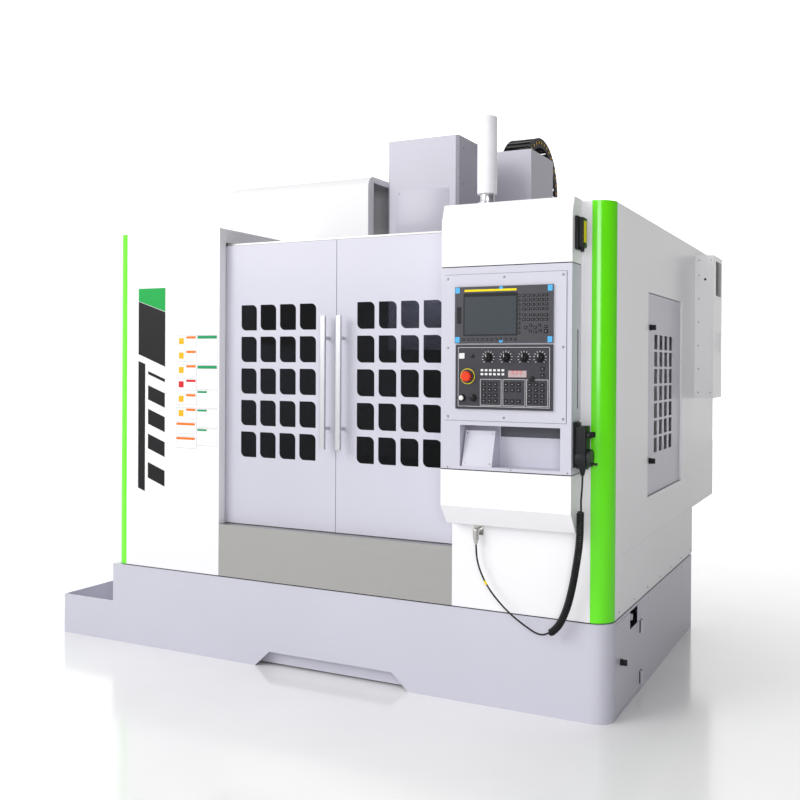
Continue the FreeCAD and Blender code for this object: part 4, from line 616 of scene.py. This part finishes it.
# ---- Port box on the top cover ----------------------------------------------
# Moulded black box with a yellow face plate, screwed to the side of the top cover,
# closed by a small knob below.
port_x = (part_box("control_top_cover")[1].x - PARTING) * 1000
bm = bmesh.new()
block(bm, port_x, port_x + 12, -84, -20, 1772, 1896)
block(bm, port_x + 10, port_x + 30, -78, -26, 1780, 1890)
ease(bm, 2.5, 2)
piece("port_box", bm, "frame", black_nylon)
bm = bmesh.new()
block(bm, port_x + 29.5, port_x + 31, -68, -36, 1798, 1878)
ease(bm, 0.5, 1)
piece("port_box_plate", bm, "frame", bright_yellow)
bm = bmesh.new()
turned(bm, 8, (port_x + 20, -52, 1782), (port_x + 20, -52, 1764), tip=7, sides=18)
turned(bm, 6, (port_x + 22, -26, 1790), (port_x + 22, -14, 1790), tip=5, sides=18)
ease(bm, 0.8, 1)
piece("port_box_knob", bm, "frame", knob_plastic)

# ---- Small doors, hinges and latches ----------------------------------------
# Coated sheet doors with black quarter turn latches; the base door hangs on black
# die cast hinges screwed to the door and the base.
paint(grey_coat, "base_door", "vent_door")
paint(black_nylon, "base_door_latch", "vent_latch_lower", "vent_latch_upper")
for name, body, y0, y1 in (("base_hinge_leaves_door", "base_door", 446, 466),
                           ("base_hinge_leaves_frame", "frame", 472, 494)):
    bm = bmesh.new()
    for z in (58, 268):
        block(bm, 1220.1, 1224, y0, y1, z - 25, z + 25)
    ease(bm, 1, 1)
    piece(name, bm, body, black_nylon)

# ---- Hand pendant -----------------------------------------------------------
# Moulded black handset with a round lower body and a cone where its cord leaves,
# hung in a bent steel holder; the wheel and both selectors are black plastic.
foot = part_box("pendant_body")[0].z * 1000
bm = bmesh.new()
block(bm, 1107, 1148, -92, -28, 1015, 1121)
turned(bm, 39.5, (1107, -60, 1000), (1149.5, -60, 1000), sides=40)
turned(bm, 14, (1128, -60, 972), (1128, -60, foot), tip=6, sides=24)
ease(bm, 4, 3)
handset = piece("pendant_handset", bm, "frame", black_nylon)
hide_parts("pendant_body")
paint(black_nylon, "pendant_axis_knob", "pendant_step_knob")
paint(black_coat, "pendant_holder")
paint(dark_plastic, "pendant_wheel")

# ---- Plain fields on the left panel -----------------------------------------
# Vinyl in plain colours pressed on the sheet: a slanted green and black badge,
# slanted black bars under it, and two columns of small plain fields.
sheet_face = (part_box("left_front_panel")[0].y - FRONT) * 1000


def slanted(bm, x0, x1, lows, highs, y):
    """Field whose lower and upper edges run between two heights, left and right."""
    middle = (lows[0] + highs[0]) / 2000
    for v in field(bm, x0, x1, lows[0], highs[0], y):
        left, right = highs if v.co.z > middle else lows
        share = (v.co.x - at(x0, 0, 0).x) / ((x1 - x0) / 1000)
        v.co.z = (left + (right - left) * share) / 1000


vinyl_green = printed("green_vinyl", "12A84A", rough=0.4)
vinyl_black = printed("black_vinyl", "141417", rough=0.4)
bm = bmesh.new()
slanted(bm, -1069, -906, (1640, 1587), (1699, 1699), sheet_face)
piece("badge_green_field", bm, "frame", vinyl_green)
bm = bmesh.new()
slanted(bm, -1069, -906, (1387, 1328), (1638, 1585), sheet_face)
slanted(bm, -1069, -1027, (750, 735), (1355, 1340), sheet_face)
for top, low in ((1307, 1255), (1240, 1135), (1128, 1020), (1010, 903), (875, 764)):
    slanted(bm, -1009, -907, (low + 37, low), (top, top - 37), sheet_face)
piece("badge_black_fields", bm, "frame", vinyl_black)
label_white = printed("white_vinyl", "FAFAFA", rough=0.4)
label_grey = printed("grey_vinyl", "77787C", rough=0.4)
label_colours = {"yellow": printed("yellow_vinyl", "F2B81A"), "orange": printed("orange_vinyl", "EE7A1E"),
                 "green": printed("green_vinyl_light", "1F9A62"), "red": red_print}
rows = [1473 - k * 67 for k in range(8)]
left_column = [(-836, -721, z - 52, z) for z in rows]
right_rows = ((1344, 1473), (1225, 1335), (1140, 1218), (1050, 1134), (967, 1044))
right_column = [(-716, -602, low, top) for low, top in right_rows]
borders = [(a - 1, b + 1, c - 1, d + 1) for a, b, c, d in left_column + right_column]
fields("label_borders", borders, sheet_face,
       "frame", label_grey, 0.15, 2)
fields("label_whites", left_column + right_column, sheet_face - 0.15, "frame", label_white,
       0.3, 2)
bars = {"yellow": [(-824, -795, z - 40, z - 11) for z in rows[:6] if z != rows[3]],
        "orange": [(-780, -725, z - 14, z - 3) for z in rows[:6] if z != rows[3]]
        + [(-836, -728, z - 14, z - 3) for z in rows[6:]],
        "red": [(-824, -795, rows[3] - 40, rows[3] - 11), (-780, -725, rows[3] - 14, rows[3] - 3)],
        "green": [(-714, -604, z - 14, z) for z in (1472, 1334)]
        + [(-714, -660, z - 9, z) for z in (1217, 1132, 1042)]}
for colour, boxes in bars.items():
    fields("label_" + colour, boxes, sheet_face - 0.45, "frame", label_colours[colour], 0.25)

# ---- Curly cord of the pendant ----------------------------------------------
# Black rubber lead: straight out of the handset, wound into a tight curl down the
# corner, then straight up to its screwed metal plug, with a yellow marker sleeve.
CORD = 7.0
CURL_RADIUS = 11.5
CURL_PITCH = 7.8
TURN_STEPS = 12
ROUTE = [
    (1128, -60, 935), (1128, -60, 890), (1122, -61, 842), (1119, -57, 772),
    (1117, -54, 688), (1104, -52, 600), (1088, -49, 512), (1066, -46, 428),
    (1030, -44, 352), (968, -42, 312), (905, -41, 345), (845, -38, 380),
    (788, -36, 428), (738, -33, 484), (704, -29, 548), (690, -24, 600), (690, -24, 638),
]


def nurbs(name, points, bevel=0.0):
    """Curve object with one smooth open spline through the pull of its points."""
    data = bpy.data.curves.new(name, "CURVE")
    data.dimensions = "3D"
    data.resolution_u = 8
    spline = data.splines.new("NURBS")
    spline.points.add(len(points) - 1)
    for slot_point, p in zip(spline.points, points):
        slot_point.co = (*p, 1)
    spline.order_u = 3
    spline.use_endpoint_u = True
    data.bevel_depth = bevel / 1000
    data.bevel_resolution = 3
    made = bpy.data.objects.new(name, data)
    bpy.context.scene.collection.objects.link(made)
    return made


guide = nurbs("cord_guide", [at(*p) for p in ROUTE])
bpy.context.view_layer.update()
guide_mesh = bpy.data.meshes.new_from_object(guide)
line = [v.co.copy() for v in guide_mesh.vertices]
bpy.data.meshes.remove(guide_mesh)
bpy.data.objects.remove(guide)
reach = [0.0]
for a, b in zip(line, line[1:]):
    reach.append(reach[-1] + (b - a).length)


def along(distance):
    """Point and direction on the route at a distance in metres."""
    k = max(i for i in range(len(reach) - 1) if reach[i] <= distance or i == 0)
    share = (distance - reach[k]) / (reach[k + 1] - reach[k])
    return line[k].lerp(line[k + 1], share), (line[k + 1] - line[k]).normalized()


curl_top = min(range(len(line)), key=lambda k: (line[k] - (at(*ROUTE[2]) + at(*ROUTE[3])) / 2).length)
curl_low = min(range(len(line)), key=lambda k: (line[k] - (at(*ROUTE[8]) + at(*ROUTE[9])) / 2).length)
points = line[:curl_top - 2:4]
start, stop = reach[curl_top], reach[curl_low]
turns = int((stop - start) * 1000 / CURL_PITCH)
side = Vector((0, 1, 0))
for step in range(turns * TURN_STEPS + 1):
    share = step / (turns * TURN_STEPS)
    centre, ahead = along(start + (stop - start) * share)
    side = (side - ahead * side.dot(ahead)).normalized()
    across = ahead.cross(side)
    lift = min(1.0, step / TURN_STEPS, (turns * TURN_STEPS - step) / TURN_STEPS)
    turn = 2 * math.pi * step / TURN_STEPS
    if lift > 0.3:
        points.append(centre + (side * math.cos(turn) + across * math.sin(turn)) * CURL_RADIUS / 1000 * lift)
points += [p for p in line[curl_low + 3::4]]
if (points[-1] - line[-1]).length > 1e-6:
    points.append(line[-1])
kept = points[:1]
for p in points[1:-1]:
    if (p - kept[-1]).length > 0.0022 and (p - points[-1]).length > 0.0022:
        kept.append(p)
points = kept + points[-1:]
rubber = moulded("black_rubber_sheath", "161719", rough=0.45, texture=500.0)
cord = nurbs("pendant_cord", points, CORD / 2)
cord.data.resolution_u = 3
cord.data.materials.append(rubber)
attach(cord, "frame")
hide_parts("cord_lead", "cord_curl", "cord_tail")
nickel = metal("nickel_plated_brass", "C9C8C4", rough=0.22)
paint(nickel, "cord_plug")
mark_at = min(range(len(line)), key=lambda k: (line[k] - at(738, -33, 484)).length)
bm = bmesh.new()
low, high = line[mark_at] - at(0, 0, 0), line[mark_at + 2] - at(0, 0, 0)
turned(bm, 4.3, low * 1000, high * 1000, sides=16)
marker = piece("cord_marker_sleeve", bm, "frame", bright_yellow)

# ---- Stage ------------------------------------------------------------------
# Plain pale floor in a white room that is brightest behind the machine and dimmer
# to its right, with soft lights; the camera stands in front, to the right.
bm = bmesh.new()
bmesh.ops.create_grid(bm, x_segments=1, y_segments=1, size=14)
floor_mesh = bpy.data.meshes.new("floor")
bm.to_mesh(floor_mesh)
bm.free()
floor = bpy.data.objects.new("floor", floor_mesh)
bpy.context.scene.collection.objects.link(floor)
floor_mesh.materials.append(powder_coat("pale_floor", "FAFAFA", rough=0.14, peel=0.0))
world = bpy.data.worlds.new("white_room")
bpy.context.scene.world = world
world.use_nodes = True
room = world.node_tree
way = put(room, "ShaderNodeTexCoord").outputs["Generated"]
REAR_WAY, RIGHT_WAY = (-0.45, 0.89, 0), (1, 0, 0)
toward_rear, toward_right = [
    put(room, "ShaderNodeVectorMath", {"operation": "DOT_PRODUCT"}, in0=way, in1=facing).outputs["Value"]
    for facing in (REAR_WAY, RIGHT_WAY)]
rear_glow = put(room, "ShaderNodeMapRange", Value=toward_rear, From_Min=0.55, From_Max=0.85,
                To_Min=0.0, To_Max=1.6).outputs["Result"]
side_glow = put(room, "ShaderNodeMapRange", Value=toward_right, From_Min=-0.3, From_Max=0.4,
                To_Min=0.98, To_Max=0.16).outputs["Result"]
brightness = put(room, "ShaderNodeMath", {"operation": "MAXIMUM"}, in0=rear_glow,
                 in1=side_glow).outputs["Value"]
backdrop = world.node_tree.nodes["Background"]
backdrop.inputs["Color"].default_value = (1, 1, 1, 1)
room.links.new(brightness, backdrop.inputs["Strength"])
for name, place, size, power in (("key_soft_box", (-3.5, -6.0, 4.2), 4.0, 210),
                                 ("front_right_strip", (3.2, -5.5, 2.0), 1.6, 75),
                                 ("chamber_light", (0.1, -0.35, 1.75), 0.5, 5)):
    light = bpy.data.lights.new(name, "AREA")
    light.size = size
    light.energy = power
    lamp = bpy.data.objects.new(name, light)
    lamp.location = place
    lamp.rotation_euler = (Vector((0, 0, 1.2)) - Vector(place)).to_track_quat("-Z", "Y").to_euler()
    bpy.context.scene.collection.objects.link(lamp)

CAMERA_AT = (2161, -3562, 1341)
YAW, PITCH, ROLL = math.radians(27.05), math.radians(-0.28), math.radians(0.31)
camera = bpy.data.objects.new("camera", bpy.data.cameras.new("camera"))
bpy.context.scene.collection.objects.link(camera)
camera.location = at(*CAMERA_AT)
look = Vector((-math.sin(YAW) * math.cos(PITCH), math.cos(YAW) * math.cos(PITCH), math.sin(PITCH)))
camera.rotation_euler = (look.to_track_quat("-Z", "Y").to_matrix() @ Matrix.Rotation(ROLL, 3, "Z")).to_euler()
camera.data.lens = 43.74
camera.data.sensor_width = 36
camera.data.shift_x = -0.00125
camera.data.shift_y = -0.0375
bpy.context.scene.camera = camera
bpy.context.scene.view_settings.view_transform = "Standard"
